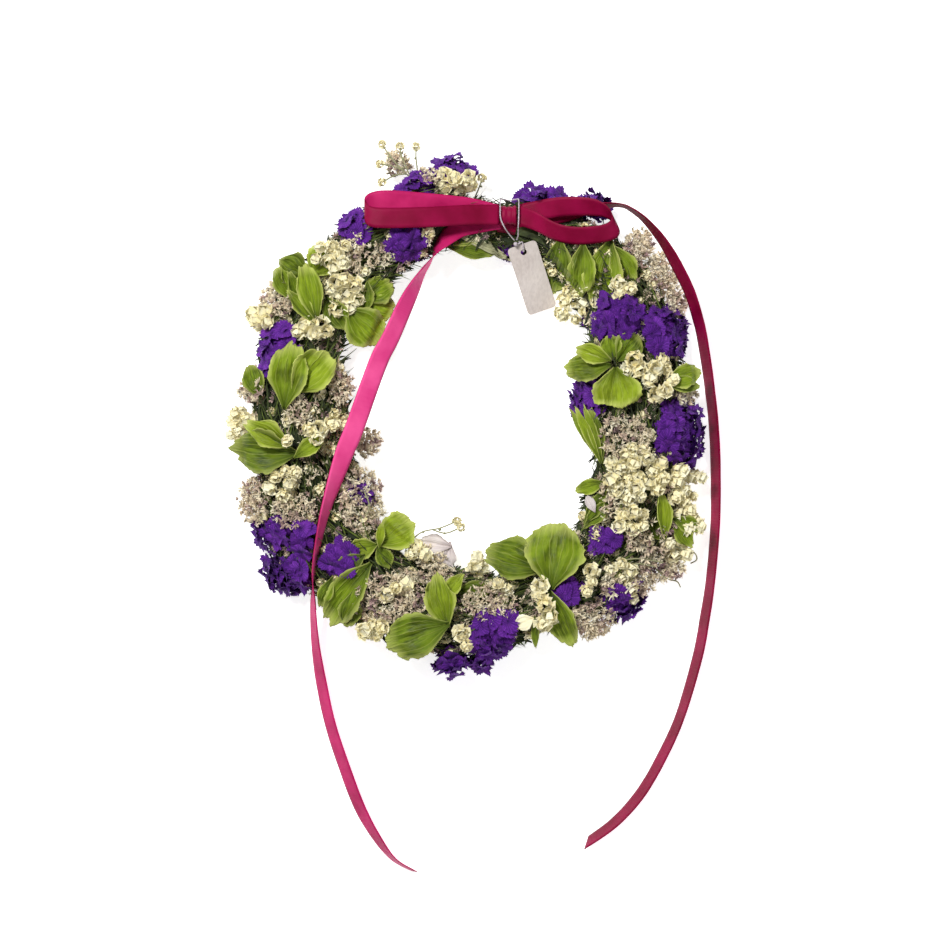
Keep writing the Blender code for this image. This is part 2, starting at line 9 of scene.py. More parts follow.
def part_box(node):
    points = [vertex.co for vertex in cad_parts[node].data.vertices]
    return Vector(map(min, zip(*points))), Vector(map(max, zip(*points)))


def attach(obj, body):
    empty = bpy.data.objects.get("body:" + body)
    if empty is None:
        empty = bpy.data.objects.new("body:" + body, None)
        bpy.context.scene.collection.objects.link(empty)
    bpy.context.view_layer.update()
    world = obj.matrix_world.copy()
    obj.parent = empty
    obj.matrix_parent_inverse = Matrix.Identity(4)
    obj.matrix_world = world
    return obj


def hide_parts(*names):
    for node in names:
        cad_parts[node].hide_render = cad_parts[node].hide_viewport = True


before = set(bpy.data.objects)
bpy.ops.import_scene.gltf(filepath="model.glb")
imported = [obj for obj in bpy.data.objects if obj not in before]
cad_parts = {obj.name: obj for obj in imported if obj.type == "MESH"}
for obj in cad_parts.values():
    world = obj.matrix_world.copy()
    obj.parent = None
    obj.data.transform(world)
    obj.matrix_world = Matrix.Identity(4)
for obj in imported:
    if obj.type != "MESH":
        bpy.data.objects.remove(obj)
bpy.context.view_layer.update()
scene = bpy.context.scene
up = Vector((0, 0, 1))
mm = 0.001

# The camera looks straight down, with the bow at the top of the picture
viewing = {"place": (0.00125, -0.02725, 1.136), "lens": 85.0, "sensor": 36.0, "near": 0.01}
cameraData = bpy.data.cameras.new("camera")
cameraData.lens = viewing["lens"]
cameraData.sensor_width = viewing["sensor"]
cameraData.clip_start = viewing["near"]
camera = bpy.data.objects.new("camera", cameraData)
camera.location = viewing["place"]
scene.collection.objects.link(camera)
scene.camera = camera
scene.view_settings.view_transform = "Standard"
print("camera placed")


def srgb(red, green, blue):
    # Screen colour to linear light, by the standard curve
    colour = []
    for part in (red / 255, green / 255, blue / 255):
        colour.append(part / 12.92 if part < 0.04045 else ((part + 0.055) / 1.055) ** 2.4)
    return (*colour, 1.0)


def addNode(tree, kind, values=None, **settings):
    node = tree.nodes.new(kind)
    for key, value in settings.items():
        setattr(node, key, value)
    for key, value in (values or {}).items():
        if isinstance(value, bpy.types.NodeSocket):
            tree.links.new(value, node.inputs[key])
        else:
            node.inputs[key].default_value = value
    return node


def maths(tree, operation, a, b=0.0):
    return addNode(tree, "ShaderNodeMath", {0: a, 1: b}, operation=operation).outputs[0]


def blendColours(tree, factor, a, b):
    # Sockets 6, 7 and 2 are the colour ones
    return addNode(tree, "ShaderNodeMix", {0: factor, 6: a, 7: b}, data_type="RGBA").outputs[2]


def spread(tree, value, low, high, toLow=0.0, toHigh=1.0):
    values = {"Value": value, "From Min": low, "From Max": high}
    values.update({"To Min": toLow, "To Max": toHigh})
    return addNode(tree, "ShaderNodeMapRange", values).outputs["Result"]


def newGroup(name, inputs, outputs):
    group = bpy.data.node_groups.new(name, "ShaderNodeTree")
    for label, kind, value in inputs:
        socket = group.interface.new_socket(label, in_out="INPUT", socket_type="NodeSocket" + kind)
        if value is not None:
            socket.default_value = value
    for label, kind in outputs:
        group.interface.new_socket(label, in_out="OUTPUT", socket_type="NodeSocket" + kind)
    return group, group.nodes.new("NodeGroupInput"), group.nodes.new("NodeGroupOutput")


def makeMottle():
    # Soft patches between two colours, as dye and drying leave them; the leaves' crinkles use them
    # as painted shade and highlight
    group, given, result = newGroup("mottle", [
        ("Vector", "Vector", None), ("Scale", "Float", 200.0), ("Stretch", "Vector", (1, 1, 1)),
        ("Dark", "Color", (0, 0, 0, 1)), ("Light", "Color", (1, 1, 1, 1)),
        ("Low", "Float", 0.35), ("High", "Float", 0.65)], [("Color", "Color"), ("Mask", "Float")])
    stretched = addNode(group, "ShaderNodeMapping", {
        "Vector": given.outputs["Vector"], "Scale": given.outputs["Stretch"]})
    cloud = addNode(group, "ShaderNodeTexNoise", {
        "Vector": stretched.outputs[0], "Scale": given.outputs["Scale"], "Detail": 3.0})
    mask = spread(group, cloud.outputs["Fac"], given.outputs["Low"], given.outputs["High"])
    colour = blendColours(group, mask, given.outputs["Dark"], given.outputs["Light"])
    group.links.new(colour, result.inputs["Color"])
    group.links.new(mask, result.inputs["Mask"])
    return group


def makeVeins():
    # Veins run from a petal's foot to its rim and fork on the way
    group, given, result = newGroup("veins", [
        ("Vector", "Vector", None), ("Count", "Float", 7.0), ("Width", "Float", 0.16),
        ("Sway", "Float", 0.5)], [("Mask", "Float")])
    parts = addNode(group, "ShaderNodeSeparateXYZ", {0: given.outputs["Vector"]})
    cloud = addNode(group, "ShaderNodeTexNoise", {
        "Vector": given.outputs["Vector"], "Scale": 3.5, "Detail": 2.0})
    sway = maths(group, "MULTIPLY", maths(group, "SUBTRACT", cloud.outputs["Fac"], 0.5),
                 given.outputs["Sway"])
    across = maths(group, "ADD", parts.outputs["X"], maths(group, "MULTIPLY", sway, 0.5))
    masks = []
    for share, start in ((1.0, 0.02), (2.0, 0.35), (4.0, 0.6)):
        count = maths(group, "MULTIPLY", given.outputs["Count"], share)
        wave = maths(group, "PINGPONG", maths(group, "MULTIPLY", across, count), 0.5)
        line = spread(group, wave, 0.0, given.outputs["Width"], 1.0, 0.0)
        grown = spread(group, parts.outputs["Y"], start, start + 0.12, 0.0, 1.0 / share ** 0.5)
        masks.append(maths(group, "MULTIPLY", line, grown))
    both = maths(group, "MAXIMUM", masks[0], masks[1])
    group.links.new(maths(group, "MAXIMUM", both, masks[2]), result.inputs["Mask"])
    return group


def makeWeave():
    # Satin: long floats along the ribbon with fine threads across it
    group, given, result = newGroup("weave", [
        ("Vector", "Vector", None), ("Along", "Float", 400.0), ("Across", "Float", 60.0)],
        [("Height", "Float"), ("Threads", "Float")])
    parts = addNode(group, "ShaderNodeSeparateXYZ", {0: given.outputs["Vector"]})
    alongTurns = maths(group, "MULTIPLY", parts.outputs["X"], given.outputs["Along"])
    acrossTurns = maths(group, "MULTIPLY", parts.outputs["Y"], given.outputs["Across"])
    warp = maths(group, "PINGPONG", acrossTurns, 0.5)
    weft = maths(group, "PINGPONG", maths(group, "ADD", alongTurns, warp), 0.5)
    height = maths(group, "ADD", warp, maths(group, "MULTIPLY", weft, 0.45))
    group.links.new(height, result.inputs["Height"])
    group.links.new(weft, result.inputs["Threads"])
    return group


mottle = makeMottle()
veins = makeVeins()
weave = makeWeave()


def newMaterial(name, **settings):
    material = bpy.data.materials.new(name)
    material.use_nodes = True
    tree = material.node_tree
    shader = tree.nodes["Principled BSDF"]
    for label, value in settings.items():
        shader.inputs[label.replace("_", " ")].default_value = value
    return material, tree, shader


def placed(tree, group, **values):
    return addNode(tree, "ShaderNodeGroup", values, node_tree=group)


def dress(tree, shader, colour, mask, rough, bump, height=None, top=1.0):
    # Every material ends alike: its colour, a roughness that follows a mask, and a bump of the
    # mask or of a height of its own
    tree.links.new(colour, shader.inputs["Base Color"])
    tree.links.new(spread(tree, mask, 0.0, top, *rough), shader.inputs["Roughness"])
    strength, distance = bump
    raised = addNode(tree, "ShaderNodeBump", {
        "Height": height or mask, "Strength": strength, "Distance": distance})
    tree.links.new(raised.outputs[0], shader.inputs["Normal"])


def coordinates(tree):
    return addNode(tree, "ShaderNodeTexCoord").outputs["Object"]


def ownMap(tree):
    return addNode(tree, "ShaderNodeUVMap", uv_map="UVMap").outputs[0]


def ownTint(tree):
    return addNode(tree, "ShaderNodeAttribute", attribute_name="tint").outputs["Fac"]


def patchy(tree, scale, dark, light, **more):
    return placed(tree, mottle, Vector=coordinates(tree), Scale=scale, Dark=dark, Light=light,
                  **more)


def satin(name, dark, light):
    material, tree, shader = newMaterial(
        name, Roughness=0.5, Sheen_Weight=0.0, Specular_IOR_Level=0.12)
    cloth = placed(tree, weave, Vector=ownMap(tree), Along=420.0, Across=34.0)
    patches = patchy(tree, 60.0, dark, light)
    threads = maths(tree, "MULTIPLY", cloth.outputs["Threads"], 0.3)
    colour = blendColours(tree, threads, patches.outputs["Color"], light)
    parts = addNode(tree, "ShaderNodeSeparateXYZ", {0: ownMap(tree)})
    edge = maths(tree, "PINGPONG", parts.outputs["Y"], 0.5)
    hem = spread(tree, edge, 0.02, 0.06, 0.35, 0.0)  # the woven edge is a shade darker
    dress(tree, shader, blendColours(tree, hem, colour, dark), cloth.outputs["Threads"],
          (0.42, 0.58), (0.35, 0.00008), cloth.outputs["Height"], top=0.5)
    return material


def leafy(name, dark, middle, light, rim):
    # Leaves and sepals: painted shade at the foot, a net of pale veins, crinkles painted with shade
    # and highlight, and a paler rim that is partly a painted highlight
    material, tree, shader = newMaterial(
        name, Roughness=0.55, Sheen_Weight=0.03, Specular_IOR_Level=0.25)
    lines = placed(tree, veins, Vector=ownMap(tree), Count=5.0, Width=0.08, Sway=0.28)
    parts = addNode(tree, "ShaderNodeSeparateXYZ", {0: ownMap(tree)})
    patches = patchy(tree, 80.0, dark, middle, Low=0.4, High=0.56)
    crinkles = placed(tree, mottle, Vector=ownMap(tree), Scale=5.0, Stretch=(3.2, 0.9, 1.0),
                      Dark=dark, Light=light, Low=0.3, High=0.7)
    lightness = ownTint(tree)
    tinted = blendColours(tree, spread(tree, lightness, 0.4, 1.15), patches.outputs["Color"], light)
    # Each petal's lightness is its own tone with painted light and shade in; low ones are painted
    # darker
    shaded = blendColours(tree, spread(tree, lightness, 0.0, 0.6, 0.8, 0.0), tinted, dark)
    # The crinkles' dark and light are painted shade and highlight on the creases
    creaseShaded = blendColours(tree, 0.3, shaded, crinkles.outputs["Color"])
    # Painted shade, darker towards each petal's foot
    foot = spread(tree, parts.outputs["Y"], 0.0, 0.55, 0.75, 0.0)
    deep = blendColours(tree, foot, creaseShaded, dark)
    sideways = maths(tree, "ABSOLUTE", maths(tree, "SUBTRACT", parts.outputs["X"], 0.5))
    # Paler towards the rim: partly its own colour, partly a painted highlight, stronger on lighter
    # petals
    besideRim = spread(tree, sideways, 0.38, 0.5)
    topRim = spread(tree, parts.outputs["Y"], 0.8, 1.0)
    paleRimAndHighlight = maths(tree, "MULTIPLY", maths(tree, "MAXIMUM", besideRim, topRim), 0.6)
    bright = maths(tree, "MULTIPLY", paleRimAndHighlight, spread(tree, lightness, 0.0, 0.7, 0.5, 1.0))
    lit = blendColours(tree, bright, deep, rim)
    veined = blendColours(tree, maths(tree, "MULTIPLY", lines.outputs["Mask"], 0.2), lit, rim)
    raised = maths(tree, "ADD", lines.outputs["Mask"],
                   maths(tree, "MULTIPLY", crinkles.outputs["Mask"], 1.6))
    dress(tree, shader, veined, patches.outputs["Mask"], (0.46, 0.66), (0.6, 0.0004), raised)
    return material


def papery(name, dark, middle, light, ribs, foot=0.7, grooveShade=0.28, crestHighlight=0.3):
    # Petals and calyces: painted shade at the foot, pale at the rim, with fine ribs painted with
    # shade between them and highlight on them
    material, tree, shader = newMaterial(
        name, Roughness=0.7, Sheen_Weight=0.05, Specular_IOR_Level=0.2)
    lines = placed(tree, veins, Vector=ownMap(tree), Count=ribs, Width=0.35, Sway=0.15)
    parts = addNode(tree, "ShaderNodeSeparateXYZ", {0: ownMap(tree)})
    patches = patchy(tree, 260.0, middle, light)
    tinted = blendColours(tree, ownTint(tree), middle, patches.outputs["Color"])
    # Painted shade, darker towards each petal's foot
    footShade = spread(tree, parts.outputs["Y"], 0.0, 0.45, foot, 0.0)
    shaded = blendColours(tree, footShade, tinted, dark)
    # Painted shade between the ribs and painted highlight on them
    low = spread(tree, lines.outputs["Mask"], 0.0, 1.0, grooveShade, 0.0)
    grooveShaded = blendColours(tree, low, shaded, dark)
    high = maths(tree, "MULTIPLY", lines.outputs["Mask"], crestHighlight)
    crestLit = blendColours(tree, high, grooveShaded, light)
    dress(tree, shader, crestLit, lines.outputs["Mask"], (0.8, 0.6), (0.6, 0.0002))
    return material


def fibrous(name, dark, light, scale=None):
    # Stems, leaves and string: a grain along each one and a tint of its own, or with a scale
    # one even grain through the whole piece
    material, tree, shader = newMaterial(name, Roughness=0.75, Sheen_Weight=0.1)
    if scale:
        grain = patchy(tree, scale, dark, light, Low=0.3, High=0.7)
        colour = grain.outputs["Color"]
    else:
        grain = placed(tree, mottle, Vector=ownMap(tree), Scale=5.0, Stretch=(6.0, 0.8, 1.0),
                       Dark=dark, Light=light, Low=0.3, High=0.7)
        deep = spread(tree, ownTint(tree), 0.0, 1.0, 0.85, 0.0)
        colour = blendColours(tree, deep, grain.outputs["Color"], dark)
        bright = spread(tree, ownTint(tree), 0.6, 1.0, 0.0, 0.8)
        colour = blendColours(tree, bright, colour, light)
    dress(tree, shader, colour, grain.outputs["Mask"], (0.85, 0.63), (0.5, 0.00015))
    return material


def dusty(name, purple, lilac, straw, cream):
    # Each tuft's own tint goes from purple-brown through grey lilac to cream
    material, tree, shader = newMaterial(name, Roughness=0.85, Sheen_Weight=0.3)
    ramp = addNode(tree, "ShaderNodeValToRGB", {"Fac": ownTint(tree)})
    stops = ramp.color_ramp.elements
    stops[0].color, stops[1].color = purple, cream
    for position, colour in ((0.2, lilac), (0.42, straw)):
        stops.new(position).color = colour
    parts = addNode(tree, "ShaderNodeSeparateXYZ", {0: ownMap(tree)})
    # Painted shade at each tuft's foot, darkening to a deep brown
    foot = spread(tree, parts.outputs["Y"], 0.0, 0.5, 0.6, 0.0)
    flecks = patchy(tree, 700.0, srgb(120, 90, 80), srgb(248, 236, 206))
    speckled = blendColours(tree, 0.2, ramp.outputs["Color"], flecks.outputs["Color"])
    shaded = blendColours(tree, foot, speckled, srgb(70, 50, 48))
    dress(tree, shader, shaded, flecks.outputs["Mask"], (0.95, 0.75), (0.4, 0.00015))
    return material


def paper(name, dark, light, cloudDark, cloudLight):
    # Card: a fine pulp with wide, faint clouds
    material, tree, shader = newMaterial(name, Roughness=0.7, Specular_IOR_Level=0.3)
    pulp = patchy(tree, 900.0, dark, light, Stretch=(1, 0.35, 1))
    clouds = patchy(tree, 70.0, cloudDark, cloudLight)
    colour = blendColours(tree, 0.5, pulp.outputs["Color"], clouds.outputs["Color"])
    dress(tree, shader, colour, pulp.outputs["Mask"], (0.62, 0.8), (0.3, 0.00008))
    return material


def galvanised(name, dark, light, roughness):
    material, tree, shader = newMaterial(name, Metallic=0.8, Roughness=roughness)
    wear = patchy(tree, 420.0, dark, light)
    dress(tree, shader, wear.outputs["Color"], wear.outputs["Mask"],
          (roughness + 0.2, roughness - 0.1), (0.2, 0.0001))
    return material


# How each finish is made: its colours from dark to light, then what is its own
recipes = (
    # The three satins are one ribbon's colour: the rose one is painted lighter for light falling on
    # it, the bright one is a painted highlight
    (satin, "satinDeep", ((118, 0, 42), (148, 8, 64)), {}),
    (satin, "satinRose", ((168, 16, 82), (208, 42, 112)), {}),
    (satin, "satinBright", ((226, 62, 134), (250, 92, 160)), {}),
    (leafy, "hydrangeaGreen", ((50, 68, 0), (116, 144, 12), (164, 184, 36), (222, 228, 128)), {}),
    (papery, "breathCream", ((222, 200, 134), (255, 246, 202), (255, 254, 232)),
     {"ribs": 2.0, "foot": 0.35, "grooveShade": 0.12}),
    (papery, "staticeViolet", ((18, 0, 48), (66, 6, 120), (132, 56, 186)),
     {"ribs": 20.0, "grooveShade": 0.6, "crestHighlight": 0.5}),
    (papery, "petalLilac", ((176, 160, 160), (214, 204, 202), (232, 224, 220)), {"ribs": 5.0}),
    (dusty, "caspiaDust", ((114, 74, 98), (190, 156, 150), (242, 226, 192), (255, 250, 224)), {}),
    (fibrous, "stemFibre", ((20, 28, 4), (104, 122, 40)), {}),
    # The under leaves and the under growth are dark greens painted darker still for the shade deep
    # in the crown
    (fibrous, "underLeaf", ((10, 16, 2), (52, 70, 14)), {}),
    (fibrous, "underGrowth", ((8, 12, 2), (38, 46, 14)), {"scale": 160.0}),
    (fibrous, "paleStem", ((118, 120, 78), (206, 204, 164)), {}),
    (fibrous, "stringFibre", ((160, 148, 156), (222, 212, 220)), {"scale": 1500.0}),
    (paper, "tagPaper", ((204, 193, 187), (228, 218, 212), (200, 188, 183), (222, 212, 207)), {}),
    (galvanised, "hoopWire", ((70, 74, 62), (128, 134, 116)), {"roughness": 0.45}),
    (galvanised, "bindingWire", ((44, 62, 34), (84, 104, 62)), {"roughness": 0.4}),
    (fibrous, "floralTape", ((34, 56, 20), (66, 94, 40)), {"scale": 500.0}),
    (fibrous, "stemBundle", ((20, 28, 6), (84, 100, 36)), {"scale": 350.0}),
)
finish = {}
for make, name, colours, own in recipes:
    finish[name] = make(name, *[srgb(*colour) for colour in colours], **own)
print("materials made:", len(finish))


def meshFrom(bm, name):
    mesh = bpy.data.meshes.new(name)
    bm.to_mesh(mesh)
    bm.free()
    return mesh


def rotated(degrees, axis):
    return Matrix.Rotation(math.radians(degrees), 4, axis)


def newUvMesh():
    bm = bmesh.new()
    bm.loops.layers.uv.new("UVMap")
    return bm


def newPiece(name, mesh, materials, nodes=()):
    mesh.name = name
    mesh.materials.clear()
    for label in materials:
        mesh.materials.append(finish[label])
    for polygon in mesh.polygons:
        polygon.use_smooth = True
    piece = bpy.data.objects.new(name, mesh)
    scene.collection.objects.link(piece)
    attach(piece, "crown")
    if nodes:
        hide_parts(*nodes)
    return piece


def thicken(piece, thickness, otherSide=0):
    solidify = piece.modifiers.new("thickness", "SOLIDIFY")
    solidify.thickness = thickness
    solidify.offset = 0.0
    solidify.material_offset = otherSide


def smoothRoute(points, steps):
    # A smooth curve through the points; anything after x, y, z is carried along with them
    route = []
    for i in range(len(points) - 1):
        a, b, c = points[max(i - 1, 0)], points[i], points[i + 1]
        d = points[min(i + 2, len(points) - 1)]
        for k in range(steps):
            t = k / steps
            spot = []
            for p, q, r, s in zip(a, b, c, d):
                bend = 2 * p - 5 * q + 4 * r - s + t * (3 * q - p - 3 * r + s)
                spot.append(q + 0.5 * t * (r - p + t * bend))
            route.append(tuple(spot))
    route.append(tuple(points[-1]))
    return route


def ribbonStrip(name, centres, sides, width, columns, cut, wander):
    rows = len(centres)
    bm = newUvMesh()
    bmesh.ops.create_grid(bm, x_segments=rows - 1, y_segments=columns, size=1.0, calc_uvs=True)
    for vert in bm.verts:
        row = round((vert.co.x + 1) / 2 * (rows - 1))
        across = vert.co.y
        ahead = (centres[min(row + 1, rows - 1)] - centres[max(row - 1, 0)]).normalized()
        face = ahead.cross(sides[row])
        ripple = noise.noise(Vector((row * 0.35, across * 0.8, width * 900))) * wander
        nearEnd = max(0.0, 1 - (rows - 1 - row) / 6)
        shear = ahead * (across * cut * nearEnd)
        vert.co = centres[row] + sides[row] * (across * width / 2) + face * ripple + shear
    return meshFrom(bm, name)


# The two long tails leave the knot on either side, cross the flowers and lie on the table.
# A point is x, y, z and the ribbon's roll in degrees: 0 lies flat, 90 stands on edge
# Each faces pair is the satin's two sides; the rose and bright satins are painted light on the one
# ribbon colour
tails = {
    "width": 0.010, "thickness": 0.0004, "columns": 6, "steps": 8, "wander": 0.0001,
    "ribbon_tail_left": {
        "length": 0.382, "cut": 0.001, "faces": ["satinRose", "satinBright"], "points": [
        (0.0145, 0.0993, 0.0207, 0), (0.0050, 0.0976, 0.0207, 0), (-0.0060, 0.0946, 0.0213, 12),
        (-0.0150, 0.0861, 0.0226, 55), (-0.0190, 0.0791, 0.0241, 90),
        (-0.0240, 0.0716, 0.0259, 106), (-0.0310, 0.0581, 0.0286, 136),
        (-0.0395, 0.0391, 0.0311, 148), (-0.0455, 0.0271, 0.0321, 154),
        (-0.0570, -0.0049, 0.0326, 158), (-0.0615, -0.0159, 0.0326, 154),
        (-0.0670, -0.0319, 0.0326, 132), (-0.0720, -0.0479, 0.0321, 113),
        (-0.0755, -0.0639, 0.0301, 103), (-0.0778, -0.0779, 0.0266, 94),
        (-0.0785, -0.0919, 0.0211, 73), (-0.0780, -0.1129, 0.0110, 63),
        (-0.0753, -0.1339, 0.0050, 54), (-0.0708, -0.1549, 0.0, 53), (-0.0640, -0.1759, 0.0, 51),
        (-0.0558, -0.1974, 0.0, 52), (-0.0470, -0.2129, 0.0, 60), (-0.0385, -0.2234, 0.0, 70),
        (-0.0280, -0.2294, 0.0, 76)]},
    "ribbon_tail_right": {
        "length": 0.411, "cut": 0.0025, "faces": ["satinDeep", "satinBright"], "points": [
        (0.0243, 0.1003, 0.0207, 0), (0.0340, 0.1011, 0.0207, 0), (0.0470, 0.1026, 0.0226, 18),
        (0.0600, 0.1044, 0.0266, 66), (0.0735, 0.1053, 0.0301, 86), (0.0810, 0.1023, 0.0306, 85),
        (0.0885, 0.0961, 0.0296, 79), (0.0965, 0.0866, 0.0271, 71), (0.1030, 0.0761, 0.0236, 65),
        (0.1095, 0.0641, 0.0190, 65), (0.1140, 0.0521, 0.0145, 65), (0.1175, 0.0391, 0.0098, 66),
        (0.1218, 0.0131, 0.0050, 67), (0.1237, -0.0059, 0.0, 67), (0.1245, -0.0254, 0.0, 67),
        (0.1243, -0.0529, 0.0, 69), (0.1220, -0.0809, 0.0, 69), (0.1189, -0.1019, 0.0, 67),
        (0.1153, -0.1209, 0.0, 67), (0.1068, -0.1499, 0.0, 69), (0.0980, -0.1699, 0.0, 68),
        (0.0868, -0.1894, 0.0, 68), (0.0735, -0.2044, 0.0, 70), (0.0590, -0.2149, 0.0, 74)]},
}
overhead = []  # places along the ribbons that flowers stay under


def tailFrames(points):
    route = smoothRoute(points, tails["steps"])
    centres = [Vector(spot[:3]) for spot in route]
    for centre, spot in zip(centres, route):
        standing = abs(math.sin(math.radians(spot[3]))) * tails["width"] / 2
        centre.z = max(centre.z, standing + tails["thickness"])
    sides = []
    for i, spot in enumerate(route):
        ahead = centres[min(i + 1, len(route) - 1)] - centres[max(i - 1, 0)]
        level = Vector((-ahead.y, ahead.x, 0)).normalized()
        roll = math.radians(spot[3])
        sides.append(math.cos(roll) * level + math.sin(roll) * up)
    return centres, sides


def layRibbon(label, shape, centres, sides, cut):
    mesh = ribbonStrip(label, centres, sides, shape["width"], shape["columns"], cut,
                       shape["wander"])
    piece = newPiece(label + "_satin", mesh, shape[label]["faces"], [label])
    thicken(piece, shape["thickness"], otherSide=1)
    for centre, side in zip(centres[::3], sides[::3]):
        low = centre.z - abs(side.z) * shape["width"] / 2
        overhead.append((centre.x, centre.y, low, side.xy.length * shape["width"] / 2))
    return piece


for label in ("ribbon_tail_left", "ribbon_tail_right"):
    own = tails[label]
    centres, sides = tailFrames(own["points"])
    piece = layRibbon(label, tails, centres, sides, own["cut"])
print("tails laid")

# The bow's two loops are gathered under the knot
bow = {
    "width": 0.010, "thickness": 0.0004, "columns": 6, "steps": 7, "wander": 0.00015,
    "bow_loop_left": {
        "length": 0.1416, "lean": 0.0, "faces": ["satinDeep", "satinRose"], "points": [
        (0.0145, 0.1013, 0.0223, 0), (0.0, 0.1046, 0.0246, 4), (-0.0200, 0.1063, 0.0286, 8),
        (-0.0400, 0.1075, 0.0313, 8), (-0.0490, 0.1063, 0.0319, 6), (-0.0520, 0.1026, 0.0346, 4),
        (-0.0490, 0.0989, 0.0371, 4), (-0.0400, 0.0981, 0.0373, 4), (-0.0200, 0.0989, 0.0346, 4),
        (0.0, 0.1006, 0.0291, 2), (0.0145, 0.1011, 0.0246, 0)]},
    "bow_loop_right": {
        "length": 0.107, "lean": 0.45, "faces": ["satinDeep", "satinDeep"], "points": [
        (0.0245, 0.1016, 0.0223, 0), (0.0330, 0.1031, 0.0241, 10), (0.0440, 0.1046, 0.0276, 20),
        (0.0560, 0.1046, 0.0306, 26), (0.0650, 0.1031, 0.0326, 32), (0.0710, 0.0986, 0.0336, 36),
        (0.0715, 0.0936, 0.0341, 38), (0.0650, 0.0906, 0.0343, 36), (0.0510, 0.0899, 0.0336, 32),
        (0.0410, 0.0926, 0.0316, 26), (0.0325, 0.0976, 0.0283, 14), (0.0245, 0.1009, 0.0247, 0)]},
}


def loopFrames(own):
    route = smoothRoute(own["points"], bow["steps"])
    centres = [Vector(spot[:3]) for spot in route]
    sides = []
    for i, spot in enumerate(route):
        tilt = math.radians(spot[3])
        outer = math.sin(math.pi * i / (len(route) - 1)) ** 2
        side = Vector((-own["lean"] * outer, math.cos(tilt), math.sin(tilt)))
        sides.append(side.normalized())
    return centres, sides


for label in ("bow_loop_left", "bow_loop_right"):
    own = bow[label]
    centres, sides = loopFrames(own)
    piece = layRibbon(label, bow, centres, sides, 0.0)


knot = {"segments": 40, "rings": 15, "pinch": 0.14, "rim": 0.12, "fold": 0.05, "pleats": 9.5,
        "uvScale": 8}


def makeKnot():
    # A wrap of gathered satin: pinched in the middle, with pleats running round it
    low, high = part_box("bow_knot")
    size, middle = high - low, (high + low) / 2
    bm = newUvMesh()
    bmesh.ops.create_cone(bm, cap_ends=True, cap_tris=False, segments=knot["segments"],
                          radius1=1.0, radius2=1.0, depth=2.0, calc_uvs=True)
    caps = [face for face in bm.faces if len(face.verts) > 4]
    bmesh.ops.inset_region(bm, faces=caps, thickness=0.3)
    tall = [edge for edge in bm.edges if abs(edge.verts[0].co.z - edge.verts[1].co.z) > 1.5]
    bmesh.ops.subdivide_edges(bm, edges=tall, cuts=knot["rings"], use_grid_fill=True)
    for vert in bm.verts:
        along, turn = vert.co.z, math.atan2(vert.co.y, vert.co.x)
        rim = max(0.0, abs(along) - 0.85) * 6
        pinch = 1 - knot["pinch"] + knot["pinch"] * abs(along) ** 1.5 - knot["rim"] * rim
        sway = 0.5 * math.sin(turn * 1.3 + 0.6)
        fold = knot["fold"] * math.sin(along * knot["pleats"] + sway)
        reach = min(1.0, vert.co.xy.length)
        vert.co.x *= pinch + fold * reach
        vert.co.y *= pinch + fold * reach
    turned = rotated(90, "Y")
    bmesh.ops.transform(bm, matrix=turned, verts=bm.verts)
    bmesh.ops.scale(bm, vec=size / 2, verts=bm.verts)
    bmesh.ops.translate(bm, vec=middle, verts=bm.verts)
    for face in bm.faces:
        for loop in face.loops:
            loop[bm.loops.layers.uv.active].uv = (
                loop.vert.co.x * knot["uvScale"], (loop.vert.co.y - low.y) / size.y)
    bmesh.ops.recalc_face_normals(bm, faces=bm.faces)
    newPiece("bow_knot_wrap", meshFrom(bm, "knot"), ["satinDeep"], ["bow_knot"])


makeKnot()
print("bow tied")


def tubesAlong(name, routes, radius):
    curve = bpy.data.curves.new(name, "CURVE")
    curve.dimensions = "3D"
    curve.bevel_depth = radius
    curve.bevel_resolution = 2
    curve.use_fill_caps = True
    for route in routes:
        spline = curve.splines.new("POLY")
        spline.points.add(len(route) - 1)
        for point, spot in zip(spline.points, route):
            point.co = (*spot, 1.0)
    helper = bpy.data.objects.new(name, curve)
    scene.collection.objects.link(helper)
    mesh = bpy.data.meshes.new_from_object(helper.evaluated_get(
        bpy.context.evaluated_depsgraph_get()))
    bpy.data.objects.remove(helper)
    return mesh


def twoPly(points, steps, radius, turns):
    # Two thin strands wound round each other along the string's route
    centres = [Vector(spot[:3]) for spot in smoothRoute(points, steps)]
    strands = ([], [])
    travelled = 0.0
    for i, centre in enumerate(centres):
        ahead = centres[min(i + 1, len(centres) - 1)] - centres[max(i - 1, 0)]
        travelled += ahead.length / 2
        side = ahead.cross(up)
        side = side.normalized() if side.length > 1e-7 else Vector((1, 0, 0))
        other = ahead.normalized().cross(side)
        for k, strand in enumerate(strands):
            turn = travelled * turns + k * math.pi
            strand.append(centre + radius * (math.cos(turn) * side + math.sin(turn) * other))
    return strands


tagString = {
    "ply": 0.00022, "twist": 0.00019, "turns": 3600.0, "steps": 10,
    "points": [
        (0.0222, 0.0891, 0.0187), (0.0205, 0.0906, 0.0216), (0.0172, 0.0946, 0.0263),
        (0.0152, 0.0991, 0.0275), (0.0150, 0.1046, 0.0273), (0.0152, 0.1086, 0.0251),
        (0.0168, 0.1093, 0.0206), (0.0195, 0.1091, 0.0181), (0.0228, 0.1093, 0.0201),
        (0.0242, 0.1086, 0.0251), (0.0243, 0.1046, 0.0273), (0.0242, 0.0991, 0.0275),
        (0.0240, 0.0951, 0.0263), (0.0240, 0.0913, 0.0216), (0.0233, 0.0893, 0.0187)],
}
plies = twoPly(tagString["points"], tagString["steps"], tagString["twist"], tagString["turns"])
newPiece("tag_string_twist", tubesAlong("string", plies, tagString["ply"]),
         ["stringFibre"], ["tag_string"])

